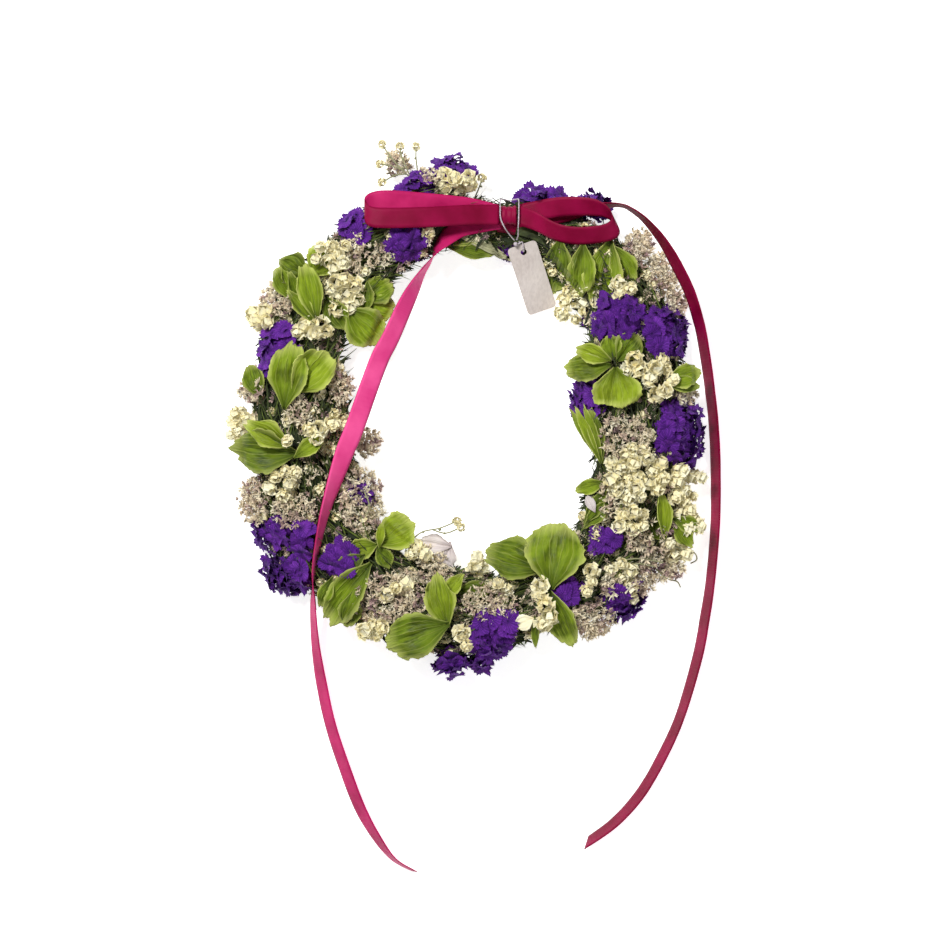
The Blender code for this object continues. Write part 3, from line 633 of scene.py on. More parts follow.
# Flowers keep under the knot, the tie and the tag as well
knotLow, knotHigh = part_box("bow_knot")
tieLow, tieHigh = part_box("tie_knot")
tagLow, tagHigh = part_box("swing_tag")
tagSwing = {"angles": (-40, -30, -20, -10, 0, 5), "reach": 10 * mm, "gap": 2 * mm,
            "shares": (0.0, 0.15, 0.3, 0.45, 0.6, 0.75, 0.9, 1.0), "aside": 0.002}
tagStart, tagEnd = tieLow, Vector((tagHigh.x, tagLow.y, 0))
for angle in tagSwing["angles"]:
    swung = Matrix.Rotation(math.radians(angle), 3, "Z")
    for share in tagSwing["shares"]:
        spot = tagStart + swung @ ((tagEnd - tagStart) * share)
        overhead.append((spot.x + tagSwing["aside"], spot.y, spot.z - tagSwing["gap"],
                         tagSwing["reach"]))
knotClear = {"under": 0.011, "reach": 0.004}
for x in (knotLow.x, knotHigh.x):
    for y in (knotLow.y, knotHigh.y, tieHigh.y):
        overhead.append((x, y, knotClear["under"], knotClear["reach"]))

# CAD nodes whose own shape is right get their finish here
for node, label in (("wire_hoop", "hoopWire"), ("floral_tape", "floralTape"),
                    ("stem_bundle_left", "stemBundle"), ("stem_bundle_right", "stemBundle"),
                    ("binding_wire", "bindingWire"), ("ribbon_band", "satinDeep"),
                    ("tie_knot", "stringFibre"), ("tie_loop", "stringFibre"),
                    ("swing_tag", "tagPaper")):
    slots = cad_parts[node].data.materials
    slots.clear()
    slots.append(finish[label])
print("string and tag finished")

# The flowers grow in a low dome over the hoop, as high and wide as the crown is full
crown = {"reach": 31 * mm, "rise": 20 * mm, "squareness": 2.3, "wire": 1 * mm, "floor": 2 * mm,
         "clear": 0.7 * mm, "steepest": 0.98, "beside": 0.0005, "below": 0.0006}
scattering = {"tries": 34, "least": 8}
hoopLow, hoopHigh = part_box("wire_hoop")
hoopMiddle = (hoopLow + hoopHigh) / 2
hoopHalfX = (hoopHigh.x - hoopLow.x) / 2 - crown["wire"]
hoopHalfY = (hoopHigh.y - hoopLow.y) / 2 - crown["wire"]
rng = random.Random(11)


def hoopRadius(c, s):
    power = crown["squareness"]
    return (abs(c / hoopHalfX) ** power + abs(s / hoopHalfY) ** power) ** (-1 / power)


def fromHoop(x, y):
    away = Vector((x - hoopMiddle.x, y - hoopMiddle.y, 0))
    distance = away.length
    away.normalize()
    return distance - hoopRadius(away.x, away.y), away


def onDome(x, y, lift=0.0, size=0.0):
    out, away = fromHoop(x, y)
    share = max(-crown["steepest"], min(crown["steepest"], out / crown["reach"]))
    upright = math.sqrt(1 - share * share)
    z = hoopMiddle.z + crown["rise"] * upright + lift
    for overX, overY, overZ, overReach in overhead:
        if math.hypot(x - overX, y - overY) < size + overReach + crown["beside"]:
            z = min(z, overZ - size * 0.8 - crown["below"])
    normal = (away * share + up * upright).normalized()
    return Vector((x, y, max(z, crown["floor"] + size * 0.9))), normal


def scatter(patch, gap):
    x, y, halfX, halfY = patch
    spots = []
    tries = int(scattering["tries"] * halfX * halfY / gap ** 2) + scattering["least"]
    for _ in range(tries):
        turn, share = rng.uniform(0, math.tau), math.sqrt(rng.random())
        spot = (x + halfX * share * math.cos(turn), y + halfY * share * math.sin(turn))
        if all(math.hypot(spot[0] - a, spot[1] - b) > gap for a, b in spots):
            spots.append(spot)
    return spots


def standing(place, normal, turn, size):
    facing = normal.to_track_quat("Z", "Y").to_matrix().to_4x4()
    spin = Matrix.Rotation(turn, 4, "Z")
    return Matrix.Translation(place) @ facing @ spin @ Matrix.Diagonal((*size, 1.0))


def jittered(normal, degrees):
    amount = math.tan(math.radians(degrees))
    push = Vector((rng.uniform(-1, 1), rng.uniform(-1, 1), rng.uniform(-1, 1))) * amount
    return (normal + push).normalized()


def asTemplate(bm, name):
    mesh = meshFrom(bm, name)
    mesh.attributes.new("tint", "FLOAT", "POINT")
    return mesh


def stamp(bm, template, matrix, tint):
    copy = template.copy()
    copy.transform(matrix)
    copy.attributes["tint"].data.foreach_set("value", [tint] * len(copy.vertices))
    bm.from_mesh(copy)
    bpy.data.meshes.remove(copy)


def merge(bm, part):
    mesh = meshFrom(part, "part")
    bm.from_mesh(mesh)
    bpy.data.meshes.remove(mesh)


def plant(bm, parts, place, normal, lean, size, tint=None, shade=1.0, sunk=0.0, tall=None):
    # One part set on the crown, turned any way round; without a tint of its own it draws one
    facing = jittered(normal, lean)
    turn = rng.uniform(0, 6)
    height = size * rng.uniform(*tall) if tall else size
    matrix = standing(place - facing * size * sunk, facing, turn, (size, size, height))
    part = rng.choice(parts)
    stamp(bm, part, matrix, rng.random() * shade if tint is None else tint)


def newGrid(columns, rows):
    bm = newUvMesh()
    bmesh.ops.create_grid(bm, x_segments=columns, y_segments=rows, size=1.0, calc_uvs=True)
    return bm


bloomShape = {"rings": ((90, 1), (52, 5), (14, 7), (-22, 5)), "kinds": 6, "seed": 0, "half": 0.46,
              "ruffle": 0.09, "cup": 0.2, "sizes": (0.85, 1.2), "lean": (15, 50), "ball": 0.66,
              "uneven": (-0.08, 0.08), "tilt": (-10, 10), "turn": (-0.3, 0.3)}


def makeBloom(seed):
    # A double bloom: small ruffled petals packed over a ball, each cupped and turned out
    own = random.Random(seed)
    bm = newUvMesh()
    for height, count in bloomShape["rings"]:
        for k in range(count):
            petal = newGrid(2, 2)
            half = bloomShape["half"] * own.uniform(*bloomShape["sizes"])
            for vert in petal.verts:
                u, v = vert.co.x, vert.co.y
                edge = max(abs(u), abs(v))
                ruffle = edge * bloomShape["cup"] + own.uniform(-1, 1) * bloomShape["ruffle"] * edge
                vert.co = (u * half * (0.8 + 0.2 * v), v * half, ruffle)
            lean = rotated(own.uniform(*bloomShape["lean"]), "X")
            out = bloomShape["ball"] + own.uniform(*bloomShape["uneven"])
            over = math.radians(90 - height + own.uniform(*bloomShape["tilt"]))
            around = math.tau * (k + own.uniform(*bloomShape["turn"])) / count
            tilt, turn = Matrix.Rotation(over, 4, "X"), Matrix.Rotation(around, 4, "Z")
            matrix = turn @ tilt @ Matrix.Translation((0, 0, out)) @ lean
            bmesh.ops.transform(petal, matrix=matrix, verts=petal.verts)
            merge(bm, petal)
    return asTemplate(bm, "bloom")


tuftShape = {"hairs": 15, "kinds": 8, "seed": 20, "width": (0.1, 0.2), "length": (0.55, 1.15),
             "bend": (-0.3, 0.3), "lean": (0, 85, 50), "foot": (-0.3, 0.3), "sunk": -0.3}


def makeTuft(seed):
    # A brush of fine bracts spreading from a stem's end
    own = random.Random(seed)
    bm = newUvMesh()
    for _ in range(tuftShape["hairs"]):
        hair = newGrid(1, 2)
        width, length = own.uniform(*tuftShape["width"]), own.uniform(*tuftShape["length"])
        bend = own.uniform(*tuftShape["bend"])
        for vert in hair.verts:
            u, v = vert.co.x, (vert.co.y + 1) / 2
            vert.co = (u * width * (1.2 - 0.7 * v), bend * v * v, v * length)
        lean = rotated(own.triangular(*tuftShape["lean"]), "X")
        turn = Matrix.Rotation(own.uniform(0, math.tau), 4, "Z")
        spin = Matrix.Rotation(own.uniform(0, math.tau), 4, "Z")
        x, y = own.uniform(*tuftShape["foot"]), own.uniform(*tuftShape["foot"])
        place = Matrix.Translation((x, y, tuftShape["sunk"]))
        bmesh.ops.transform(hair, matrix=place @ turn @ lean @ spin, verts=hair.verts)
        merge(bm, hair)
    return asTemplate(bm, "tuft")


frillShape = {"ribs": 40, "rings": 2, "kinds": 8, "seed": 40, "waves": 4, "depth": 0.2,
              "pleat": 0.06, "foot": 0.06, "tooth": (-0.05, 0.06), "comb": 0.07, "lobes": 0.12}


def makeFrill(seed):
    # A papery statice calyx: a funnel whose rim is frilled and cut into fine teeth
    own = random.Random(seed)
    bm = newUvMesh()
    ribs, rings = frillShape["ribs"], frillShape["rings"]
    bmesh.ops.create_cone(bm, cap_ends=False, segments=ribs, radius1=frillShape["foot"],
                          radius2=1.0, depth=1.0, calc_uvs=True)
    slanting = [edge for edge in bm.edges if abs(edge.verts[0].co.z - edge.verts[1].co.z) > 0.5]
    bmesh.ops.subdivide_edges(bm, edges=slanting, cuts=rings - 1, use_grid_fill=True)
    phase, split = own.uniform(0, 6), own.uniform(0, 6)
    layer = bm.loops.layers.uv.active
    share = {}
    for vert in bm.verts:
        v, turn = vert.co.z + 0.5, math.atan2(vert.co.y, vert.co.x)
        share[vert] = (v, turn)
        pleat = 1 if round(turn / math.tau * ribs) % 2 else -1
        tooth = 0.0
        if v > 0.95:  # only the rim is cut
            tooth = own.uniform(*frillShape["tooth"]) + frillShape["comb"] * pleat
        wave = math.sin(turn * frillShape["waves"] + phase + 0.8 * math.sin(turn * 2 + split))
        reach = v ** 0.8 * (1 + frillShape["lobes"] * math.sin(turn * 3 + split) + tooth)
        height = 0.35 * v - 0.25 * v ** 3 + frillShape["depth"] * wave * v * v
        height += frillShape["pleat"] * pleat * v
        vert.co = (reach * math.cos(turn), reach * math.sin(turn), height)
    for face in bm.faces:
        for loop in face.loops:
            v, turn = share[loop.vert]
            loop[layer].uv = ((turn / math.tau) % 1.0, v)
    return asTemplate(bm, "frill")


bladeShape = {"rows": 4, "kinds": 6, "seed": 60, "bend": (-0.25, 0.35), "aside": (-0.2, 0.2),
              "arch": 1.5, "keel": 0.015, "sway": 6}


def makeBlade(seed):
    # One needle-like leaf or fibre, tapered at both ends and bent
    own = random.Random(seed)
    bm = newGrid(1, bladeShape["rows"])
    bend, sway = own.uniform(*bladeShape["bend"]), own.uniform(*bladeShape["aside"])
    for vert in bm.verts:
        u, v = vert.co.x, (vert.co.y + 1) / 2
        width = 0.5 * (math.sin(math.pi * min(1.0, v * 0.9 + 0.1)) + 0.08)
        height = bend * (v - v * v) * bladeShape["arch"] + bladeShape["keel"] * abs(u) * width
        vert.co = (u * width, v, height)
        vert.co.x += sway * v * v * bladeShape["sway"]
    return asTemplate(bm, "blade")


def makeKinds(make, shape):
    return [make(shape["seed"] + kind) for kind in range(shape["kinds"])]


blooms = makeKinds(makeBloom, bloomShape)
tufts = makeKinds(makeTuft, tuftShape)
frills = makeKinds(makeFrill, frillShape)
blades = makeKinds(makeBlade, bladeShape)
print("flower parts made")


def settled(bm):
    # Nothing reaches below the table
    for vert in bm.verts:
        vert.co.z = max(vert.co.z, crown["clear"])
    return bm


def newCluster():
    bm = newUvMesh()
    bm.verts.layers.float.new("tint")
    return bm


lower = {"start": 17 * mm, "floor": 1 * mm, "top": 4 * mm, "back": 4, "rise": (-0.2, 0.5)}


def sidePlaces(x, y, count, size):
    # More of the same lower down, where a patch reaches the crown's outer or inner side
    out, away = fromHoop(x, y)
    places = []
    if abs(out) < lower["start"]:
        return places
    top = onDome(x, y, 0.0, size)[0].z
    low = size + lower["floor"]
    if top < low + lower["top"]:  # something hangs over this place
        return places
    for _ in range(count):
        z = rng.uniform(low, max(low + lower["floor"], top - lower["top"]))
        back = away * (math.copysign(1, -out) * rng.uniform(0, lower["back"]) * mm)
        rise = up * rng.uniform(*lower["rise"])
        normal = (away * math.copysign(1, out) + rise).normalized()
        places.append((Vector((x, y, z)) + back, normal))
    return places


# Patches are x, y and half sizes in millimetres; each list stands for one lump of the CAD model.
# The second lean and sunk are for what grows lower, on the crown's sides
statice = {
    "gap": 3.0, "size": (3.6, 6.2), "lift": (-2.5, 2.5), "lean": (18, 15), "sunk": (0.5, 0.7),
    "tall": (0.8, 1.2), "lower": 3, "shade": 1.0, "splay": 0.05, "patches": [
    [(-10, 127.5, 8, 6), (-26.5, 117.5, 7.5, 6)],
    [(-31, 85.5, 10, 7)],
    [(-57.5, 95, 6.5, 7.5)],
    [(-96, 34, 9.5, 12.5)],
    [(-101, -60, 8, 7), (-82.5, -62, 5.5, 9), (-93, -80, 13, 8)],
    [(-66.5, -68.5, 8.5, 8), (-51, -36, 5, 3)],
    [(11.5, -108, 10, 13), (5, -125.5, 4, 3.5), (-9.5, -126, 5, 6)],
    [(49, -85.5, 5, 5), (67.5, -61, 6, 4), (79, -93.5, 8, 8)],
    [(108.5, -7, 12.5, 17)],
    [(56, 9.5, 7.5, 6.5)],
    [(72.5, 50, 14.5, 10)],
    [(100, 44, 11.5, 12.5)],
    [(35.5, 111, 13, 6), (23, 86, 10, 4)],
    [(62, 110, 9, 4.5)],
]}
breath = {
    "gap": 4.7, "size": (2.5, 4.4), "lift": (-1.5, 4.5), "lean": (20, 20), "sunk": (0.0, 0.0),
    "tall": None, "lower": 3, "shade": 0.6, "patches": [
    [(-68.5, 81, 9, 7.5), (-62.5, 60.5, 7.5, 8), (-7.5, 117, 8, 5),
     (-104, 48.5, 6.5, 4.5), (-77, 43.5, 8.5, 3.5)],
    [(-93, -31, 7.5, 8), (-115, -6, 4.5, 10), (-76.5, -7.5, 4, 3),
     (-88.5, -12.5, 2, 2.5), (-67, -1, 5, 5)],
    [(-26, -68, 4.5, 4), (3.5, -73.5, 3, 3.5), (-49, -104.5, 6, 4),
     (-3, -111, 3.5, 6), (-32.5, -85, 4, 3), (-42.5, -87, 2, 2),
     (16.5, -84, 3, 3), (34.5, -85, 3, 3), (37, -97, 3, 6.5)],
    [(82.5, -28, 13, 13), (81, -50.5, 9.5, 5.5), (59, -80, 3, 7),
     (77.5, -73.5, 3.5, 3.5), (79, -86, 4, 5)],
    [(107.5, -34, 9, 9.5), (109, -51, 6, 5.5), (104, -65, 6, 5)],
    [(93.5, 19.5, 6.5, 9.5), (82.5, 24, 5, 5), (53.5, 57.5, 8, 7),
     (75, 64, 5, 5)],
]}
caspia = {
    "gap": 2.0, "size": (1.8, 3.1), "lift": (-3.0, 1.5), "lean": (40, 40), "sunk": (0.0, 0.0),
    "tall": None, "lower": 2, "shade": 1.0, "cloud": 0.22, "patches": [
    [(-37, 130, 6, 4), (-20, 121, 6, 4)],
    [(-96.5, 59, 9, 9)],
    [(-110, 14, 6.5, 6), (-85, 3, 6.5, 7)],
    [(-109, -41.5, 8, 11.5), (-87.5, -46, 11, 8.5)],
    [(-53.5, -41, 10.5, 16)],
    [(-64, 16.5, 5.5, 8.5), (-50.5, -11.5, 6, 7.5)],
    [(-43, -90, 14, 13), (-28, -86, 12, 10), (9, -92, 14, 9), (-21, -69, 8, 5),
     (-14, -77, 6, 4)],
    [(60.5, -101, 12, 9), (70, -83.5, 5, 6)],
    [(94, -73, 9, 9), (84, -61, 6, 5.5), (100, -58, 6, 5), (86, -84, 6, 5),
     (103, -76, 5, 5)],
    [(77, -10, 13, 10), (95, -33, 5, 4), (68, -40, 4, 8)],
    [(85, 87.5, 7, 8), (98, 74, 8, 10), (104, 59, 6, 7), (108.5, 11, 5.5, 4.5),
     (-56, 86.5, 4, 6), (-58, 74, 4, 9), (-46, 80, 6, 6)],
]}


def growSprigs(sprigs, parts, node, ending, label):
    for number, patches in enumerate(sprigs["patches"], 1):
        bm = newCluster()
        for patch in patches:
            for x, y in scatter(patch, sprigs["gap"]):
                size = rng.uniform(*sprigs["size"]) * mm
                lift = rng.uniform(*sprigs["lift"]) * mm
                place, normal = onDome(x * mm, y * mm, lift, size)
                tint = None
                if "splay" in sprigs:
                    fromMiddle = Vector((x - patch[0], y - patch[1], 0)) * sprigs["splay"]
                    normal = (normal + fromMiddle).normalized()
                if "cloud" in sprigs:
                    cloud = noise.noise(Vector((x * sprigs["cloud"], y * sprigs["cloud"], 3.0)))
                    tint = min(1.0, max(0.0, 0.5 + cloud * 0.7 + rng.uniform(-0.2, 0.2)))
                plant(bm, parts, place, normal, sprigs["lean"][0], size, tint, 1.0,
                      sprigs["sunk"][0], sprigs["tall"])
                for spot, outwards in sidePlaces(x * mm, y * mm, sprigs["lower"], size):
                    plant(bm, parts, spot, outwards, sprigs["lean"][1], size, tint,
                          sprigs["shade"], sprigs["sunk"][1])
        stood = "%s_%02d" % (node, number)
        newPiece("%s_%s" % (stood, ending), meshFrom(settled(bm), stood), [label], [stood])


growSprigs(statice, frills, "statice", "frills", "staticeViolet")
growSprigs(breath, blooms, "babys_breath", "blooms", "breathCream")
growSprigs(caspia, tufts, "caspia", "tufts", "caspiaDust")
print("statice, breath and caspia grown")

petalShape = {"columns": 24, "rows": 20, "thickness": 0.3, "fold": 0.03, "teeth": 0.014,
              "widest": 0.62, "sunk": 2, "over": 8 * mm, "floor": 1.5 * mm}

# A petal is x, y of its foot, lift, heading, rise, roll, length, width (mm and degrees), then how
# broad its tip is, cup, curl, wave and how light it is, its own tone with painted light and shade
# in.
# The last two lists are leaves that grow among the caspia and the statice
hydrangea = [
    [(-80, 70, -1, 152, 12, -8, 17, 17, 0.25, 0.2, -0.15, 0.1, 0.12),
     (-79, 70, 0, 52, 14, 10, 16, 17, 0.8, -0.2, -0.2, 0.1, 0.85),
     (-88, 58, -1, 116, 18, 0, 18, 11, 0.6, 0.4, -0.2, 0.08, 0.5),
     (-84, 55, 0, 107, 18, 25, 18, 8, 0.4, 0.6, -0.1, 0.05, 0.35),
     (-76, 46, 1, 129, 14, 18, 22, 9, 0.35, 0.6, -0.1, 0.06, 0.6),
     (-75.5, 47, 2, 102, 15, 4, 29, 13, 0.75, 0.45, -0.14, 0.12, 0.62)],
    [(-72, 60, -1, -58, 6, 14, 19, 14, 0.6, 0.4, -0.15, 0.07, 0.25),
     (-52, 70, -2, -100, 4, 0, 18, 13, 0.7, 0.4, -0.1, 0.1, 0.2),
     (-53.5, 57.5, 0, 36, 6, -10, 17, 15, 0.8, 0.2, -0.25, 0.1, 0.45),
     (-53.5, 57, 0, -18, 6, 8, 16, 14, 0.75, -0.15, -0.25, 0.08, 0.72),
     (-61, 54, 1, -46, 8, 0, 22, 21, 0.85, 0.3, -0.25, 0.1, 0.55)],
    [(-104, 10, -1, 112, 10, -10, 17, 12, 0.6, 0.4, -0.2, 0.1, 0.35),
     (-92, 4, 1, 82, 16, -6, 32, 20, 0.85, 0.4, -0.2, 0.12, 0.55),
     (-88, 12, 2, 46, 14, 10, 26, 20, 0.95, 0.5, -0.2, 0.12, 0.8)],
    [(-85, -18, 0, 176, 8, -10, 33, 23, 0.6, 0.35, -0.25, 0.1, 0.22),
     (-89, -15, 1, 150, 14, 12, 25, 14, 0.55, 0.5, -0.2, 0.12, 0.85),
     (-87, -20, 2, 35, 14, -12, 17, 9, 0.5, 0.5, -0.2, 0.08, 0.75)],
    [(-46, -63, 0, -62, 6, 0, 13, 9, 0.6, 0.3, -0.2, 0.06, 0.25),
     (-46, -63, 1, 33, 12, 0, 20, 19, 0.9, 0.25, -0.25, 0.1, 0.8),
     (-46, -63, 1, 196, 10, 0, 14, 11, 0.8, 0.5, -0.3, 0.1, 0.75),
     (-45, -65, 3, 84, 16, 0, 13, 4.5, 0.6, 0.5, -0.1, 0.05, 1.0)],
    [(-68, -79, 0, 246, 6, 0, 16, 8, 0.5, 0.5, -0.2, 0.06, 0.45),
     (-49, -72, 1, 232, 6, 14, 36, 19, 0.8, 0.6, -0.25, 0.12, 0.5),
     (-58, -86, 0, 262, 6, 0, 18, 12, 0.6, 0.3, -0.25, 0.08, 0.3),
     (-52, -68, 0, 212, 8, 0, 17, 11, 0.5, 0.4, -0.2, 0.06, 0.15)],
    [(-10, -102, 3, 198, 8, 0, 32, 23, 0.85, 0.3, -0.22, 0.07, 0.35),
     (-11, -104, 2, 104, 12, -10, 27, 16, 0.6, 0.5, -0.15, 0.14, 0.72),
     (-14, -90, 2, 50, 12, 0, 16, 8, 0.5, 0.4, -0.2, 0.06, 0.9),
     (-8, -86, -1, 4, 4, 0, 20, 9, 0.5, 0.2, -0.1, 0.05, 0.05)],
    [(37, -76, 1, 160, 6, 16, 30, 22, 0.75, 0.4, -0.16, 0.1, 0.18)],
    [(40, -85, 3, 84, 8, -6, 32, 30, 0.8, 0.3, -0.18, 0.07, 0.5)],
    [(39, -85, 1, -68, 6, 14, 30, 15, 0.75, 0.7, -0.15, 0.08, 0.5),
     (32, -98, -1, -88, 4, 0, 16, 4, 0.5, 0.4, -0.1, 0.05, 0.25)],
    [(98, -61, 0, 128, 8, 0, 14, 13, 0.6, 0.25, -0.2, 0.05, 0.2),
     (97, -61, 2, 94, 14, 22, 24, 9, 0.5, 0.7, -0.1, 0.06, 0.85),
     (101, -50, 0, -22, 6, 0, 16, 9, 0.4, 0.4, -0.2, 0.1, 0.4),
     (101, -52, 0, -50, 6, 0, 16, 9, 0.4, 0.4, -0.2, 0.1, 0.55)],
    [(71, 29, 0, 100, 14, 0, 12, 11, 0.7, 0.3, -0.2, 0.1, 0.5),
     (73, 28, 0, 52, 14, 0, 16, 15, 0.75, 0.35, -0.25, 0.1, 0.3),
     (70, 28, 2, 160, 12, 0, 18, 10, 0.7, 0.3, -0.2, 0.06, 0.95),
     (70, 26, 1, 186, 8, 0, 22, 14, 0.85, 0.25, -0.25, 0.07, 0.5),
     (72, 25, 2, 274, 8, 0, 20, 25, 0.9, 0.25, -0.25, 0.1, 0.85),
     (97, 17, 0, 20, 10, 0, 18, 12, 0.7, 0.4, -0.2, 0.12, 0.6),
     (97, 18, -1, 352, 8, 0, 17, 9, 0.6, 0.4, -0.2, 0.1, 0.25)],
    [(45, 89, -1, -100, 6, -8, 26, 17, 0.8, 0.4, -0.2, 0.1, 0.35),
     (56, 87, 0, -92, 8, 0, 25, 14, 0.85, 0.4, -0.2, 0.1, 0.5),
     (70, 89, 0, -102, 6, 8, 33, 20, 0.7, 0.45, -0.2, 0.12, 0.62),
     (70, 86, -1, -60, 6, 0, 22, 14, 0.7, 0.3, -0.2, 0.08, 0.5)],
    [(67, -32, 0, 196, 8, 0, 15, 8, 0.6, 0.3, -0.2, 0.05, 0.65),
     (66, -23, -1, 102, 4, 0, 28, 8, 0.5, 0.3, -0.1, 0.06, 0.2),
     (66, -23, 0, 108, 4, 0, 30, 5, 0.5, 0.4, -0.1, 0.06, 0.6),
     (65, -23, 1, 114, 4, 0, 31, 5, 0.5, 0.4, -0.1, 0.06, 0.8),
     (64, -21, 0, 119, 4, 0, 29, 4.5, 0.5, 0.4, -0.1, 0.06, 0.5),
     (68, -34, -1, 240, 4, 0, 22, 8, 0.3, 0.4, -0.1, 0.06, 0.15),
     (70, -40, -1, 228, 4, 0, 20, 8, 0.3, 0.4, -0.1, 0.06, 0.25)],
    [(-14, 88, -2, 12, 4, 0, 22, 9, 0.5, 0.3, -0.1, 0.05, 0.1),
     (-12, 86, -3, 350, 4, 0, 24, 8, 0.5, 0.3, -0.1, 0.05, 0.2)],
]


def growPetal(bm, entry, seed):
    x, y, lift, heading, rise, roll, length, width, tip, cup, curl, wave, light = entry
    own = random.Random(seed)
    length, width = length * mm, width * mm
    over, thick = petalShape["over"], petalShape["thickness"] * mm
    teeth, widest = petalShape["teeth"], petalShape["widest"]
    petal = newGrid(petalShape["columns"], petalShape["rows"])
    phase, rounds, folds = own.uniform(0, 6), own.uniform(2.0, 3.2), own.uniform(7, 12)
    for vert in petal.verts:
        u, v = vert.co.x, (vert.co.y + 1) / 2
        swell = math.sin(min(1.0, v / widest) * math.pi / 2) ** 1.25
        taper = 1.0 if v < widest else 1 - (1 - tip) * ((v - widest) / (1 - widest)) ** 1.6
        nick = noise.noise(Vector((v * 8, u * 3, seed * 1.7))) * 0.12 * abs(u) ** 6
        row, column = round(v * petalShape["rows"]), round((u + 1) / 2 * petalShape["columns"])
        nick += teeth * (-1) ** row * abs(u) ** 12
        half = width / 2 * (0.09 + 0.91 * swell * taper) * (1 + nick)
        rim = abs(u) ** 2.4
        reach = length * (v - 0.2 * rim * v ** 3)
        reach += width * teeth * 0.5 * (-1) ** column * v ** 14
        reach += length * 0.09 * noise.noise(Vector((u * 2.6, seed * 0.9, 1.0))) * v ** 3
        reach += length * 0.03 * noise.noise(Vector((u * 9, seed * 0.9, 4.0))) * v ** 6
        sway = wave * width * (rim + 0.3 * v) * math.sin(v * rounds * 3 + u * 2 + phase) * v
        sway += 0.05 * width * noise.noise(Vector((u * 1.8, v * 2.6, seed * 2.3)))
        crease = -0.07 * width * math.exp(-(u * 4) ** 2)
        bent = u + 0.25 * noise.noise(Vector((u * 1.5, v * 2.2, seed * 3.1)))
        crease += petalShape["fold"] * width * math.sin(bent * folds + phase) * min(1.0, v * 2.5)
        height = cup * width / 2 * u * u * swell + curl * length * v * v + sway + crease
        vert.co = (reach, u * half, height)
    rolled = rotated(roll, "X")
    raised = rotated(-rise, "Y")
    headed = rotated(heading, "Z")
    place = onDome(x * mm, y * mm, (lift - petalShape["sunk"]) * mm)[0]
    matrix = Matrix.Translation(place) @ headed @ raised @ rolled
    bmesh.ops.transform(petal, matrix=matrix, verts=petal.verts)
    for vert in petal.verts:
        roof = onDome(vert.co.x, vert.co.y, over, thick)[0].z
        vert.co.z = max(petalShape["floor"], min(vert.co.z, roof))
    mesh = asTemplate(petal, "petal")
    stamp(bm, mesh, Matrix.Identity(4), light)
    bpy.data.meshes.remove(mesh)


# Pale petals fallen among the rest, listed the same way
palePetals = {
    "petalLilac": [
        (-9, -64.5, 2, 170, 4, 0, 16, 10, 0.7, 0.2, -0.12, 0.06, 0.9),
        (-10, -62, 1, 256, 4, 0, 15, 10, 0.8, 0.2, -0.12, 0.06, 0.5),
        (62, -47, 2, 118, 6, 0, 9, 5, 0.7, 0.3, -0.1, 0.06, 0.7)],
    "paleStem": [
        (-9, 94.5, 0, 334, 2, 0, 36, 5, 0.3, 0.3, -0.1, 0.03, 0.8),
        (-7, 91.5, -1, 338, 2, 0, 34, 4, 0.3, 0.3, -0.1, 0.03, 0.55)],
    "breathCream": [
        (31.5, -99, 3, 205, 4, 0, 9.5, 8.5, 0.8, 0.2, -0.2, 0.05, 0.9)],
}


def growPetals(petals, firstSeed, name, label, stands=()):
    bm = newCluster()
    for k, entry in enumerate(petals):
        growPetal(bm, entry, firstSeed + k)
    piece = newPiece(name, meshFrom(settled(bm), name), [label], stands)
    thicken(piece, petalShape["thickness"] * mm)


petalSeeds = {"each": 10, "pale": 300}
greenNodes = ["hydrangea_%02d" % number for number in range(1, 14)]
for number, (node, petals) in enumerate(zip(greenNodes + ["caspia_10", "statice_02"], hydrangea)):
    growPetals(petals, number * petalSeeds["each"], node + "_petals", "hydrangeaGreen",
               [node] if node in greenNodes else ())
for number, (label, petals) in enumerate(palePetals.items()):
    growPetals(petals, petalSeeds["pale"] + number * petalSeeds["each"],
               "pale_petals_%02d" % (number + 1), label)
print("hydrangea petals grown")

# Bare stems and budded twigs: each is a route in millimetres, and the buds sit at its points
twigs = {
    "radius": 0.36, "bud": (0.6, 0.9), "bloom": 2.1, "bloomTint": 0.4, "steps": 6, "tint": 0.5,
    "uneven": 0.25,
    "bare": [
        [(69, -73, 24), (82, -70, 28), (96, -72, 25)],
        [(66, -77, 23), (80, -72.5, 28), (92, -74, 26)],
        [(82, 13, 24), (90, 20, 27), (101, 26, 24)],
        [(80, 8, 24), (89, 17, 27), (99, 27, 24)],
        [(98, -62, 20), (107, -66, 19), (112.5, -67.5, 16), (114, -71, 14), (111, -73, 13)],
        [(90, -72, 18), (98, -80, 17), (104, -82, 14), (106, -85, 12)]],
    "budded": [
        [(-30, -62, 18), (-24, -57, 21), (-15, -55, 22), (-6.5, -51.5, 21)],
        [(-19, -55.7, 22), (-12, -57.5, 23), (-4.5, -54.5, 23)],
        [(-26, 117, 19), (-34, 124, 22), (-40, 131, 21), (-44, 137, 19)],
        [(-32, 122, 21), (-38, 121, 21), (-44, 118, 19)],
        [(-34, 124, 22), (-40, 126, 22), (-45, 127, 20)],
        [(-30, 121, 21), (-34, 130, 22), (-35, 136, 20)],
        [(-26, 122, 20), (-27, 130, 20), (-27, 136, 18)],
        [(2, 110, 14), (5, 117, 15), (6, 121, 14)],
        [(72, -9, 24), (75, -16, 27), (73, -23, 27)],
        [(75, -14, 26), (80, -17, 27), (84, -21, 26)],
        [(-53, -36, 25), (-50, -44, 27), (-53, -51, 26)]],
}


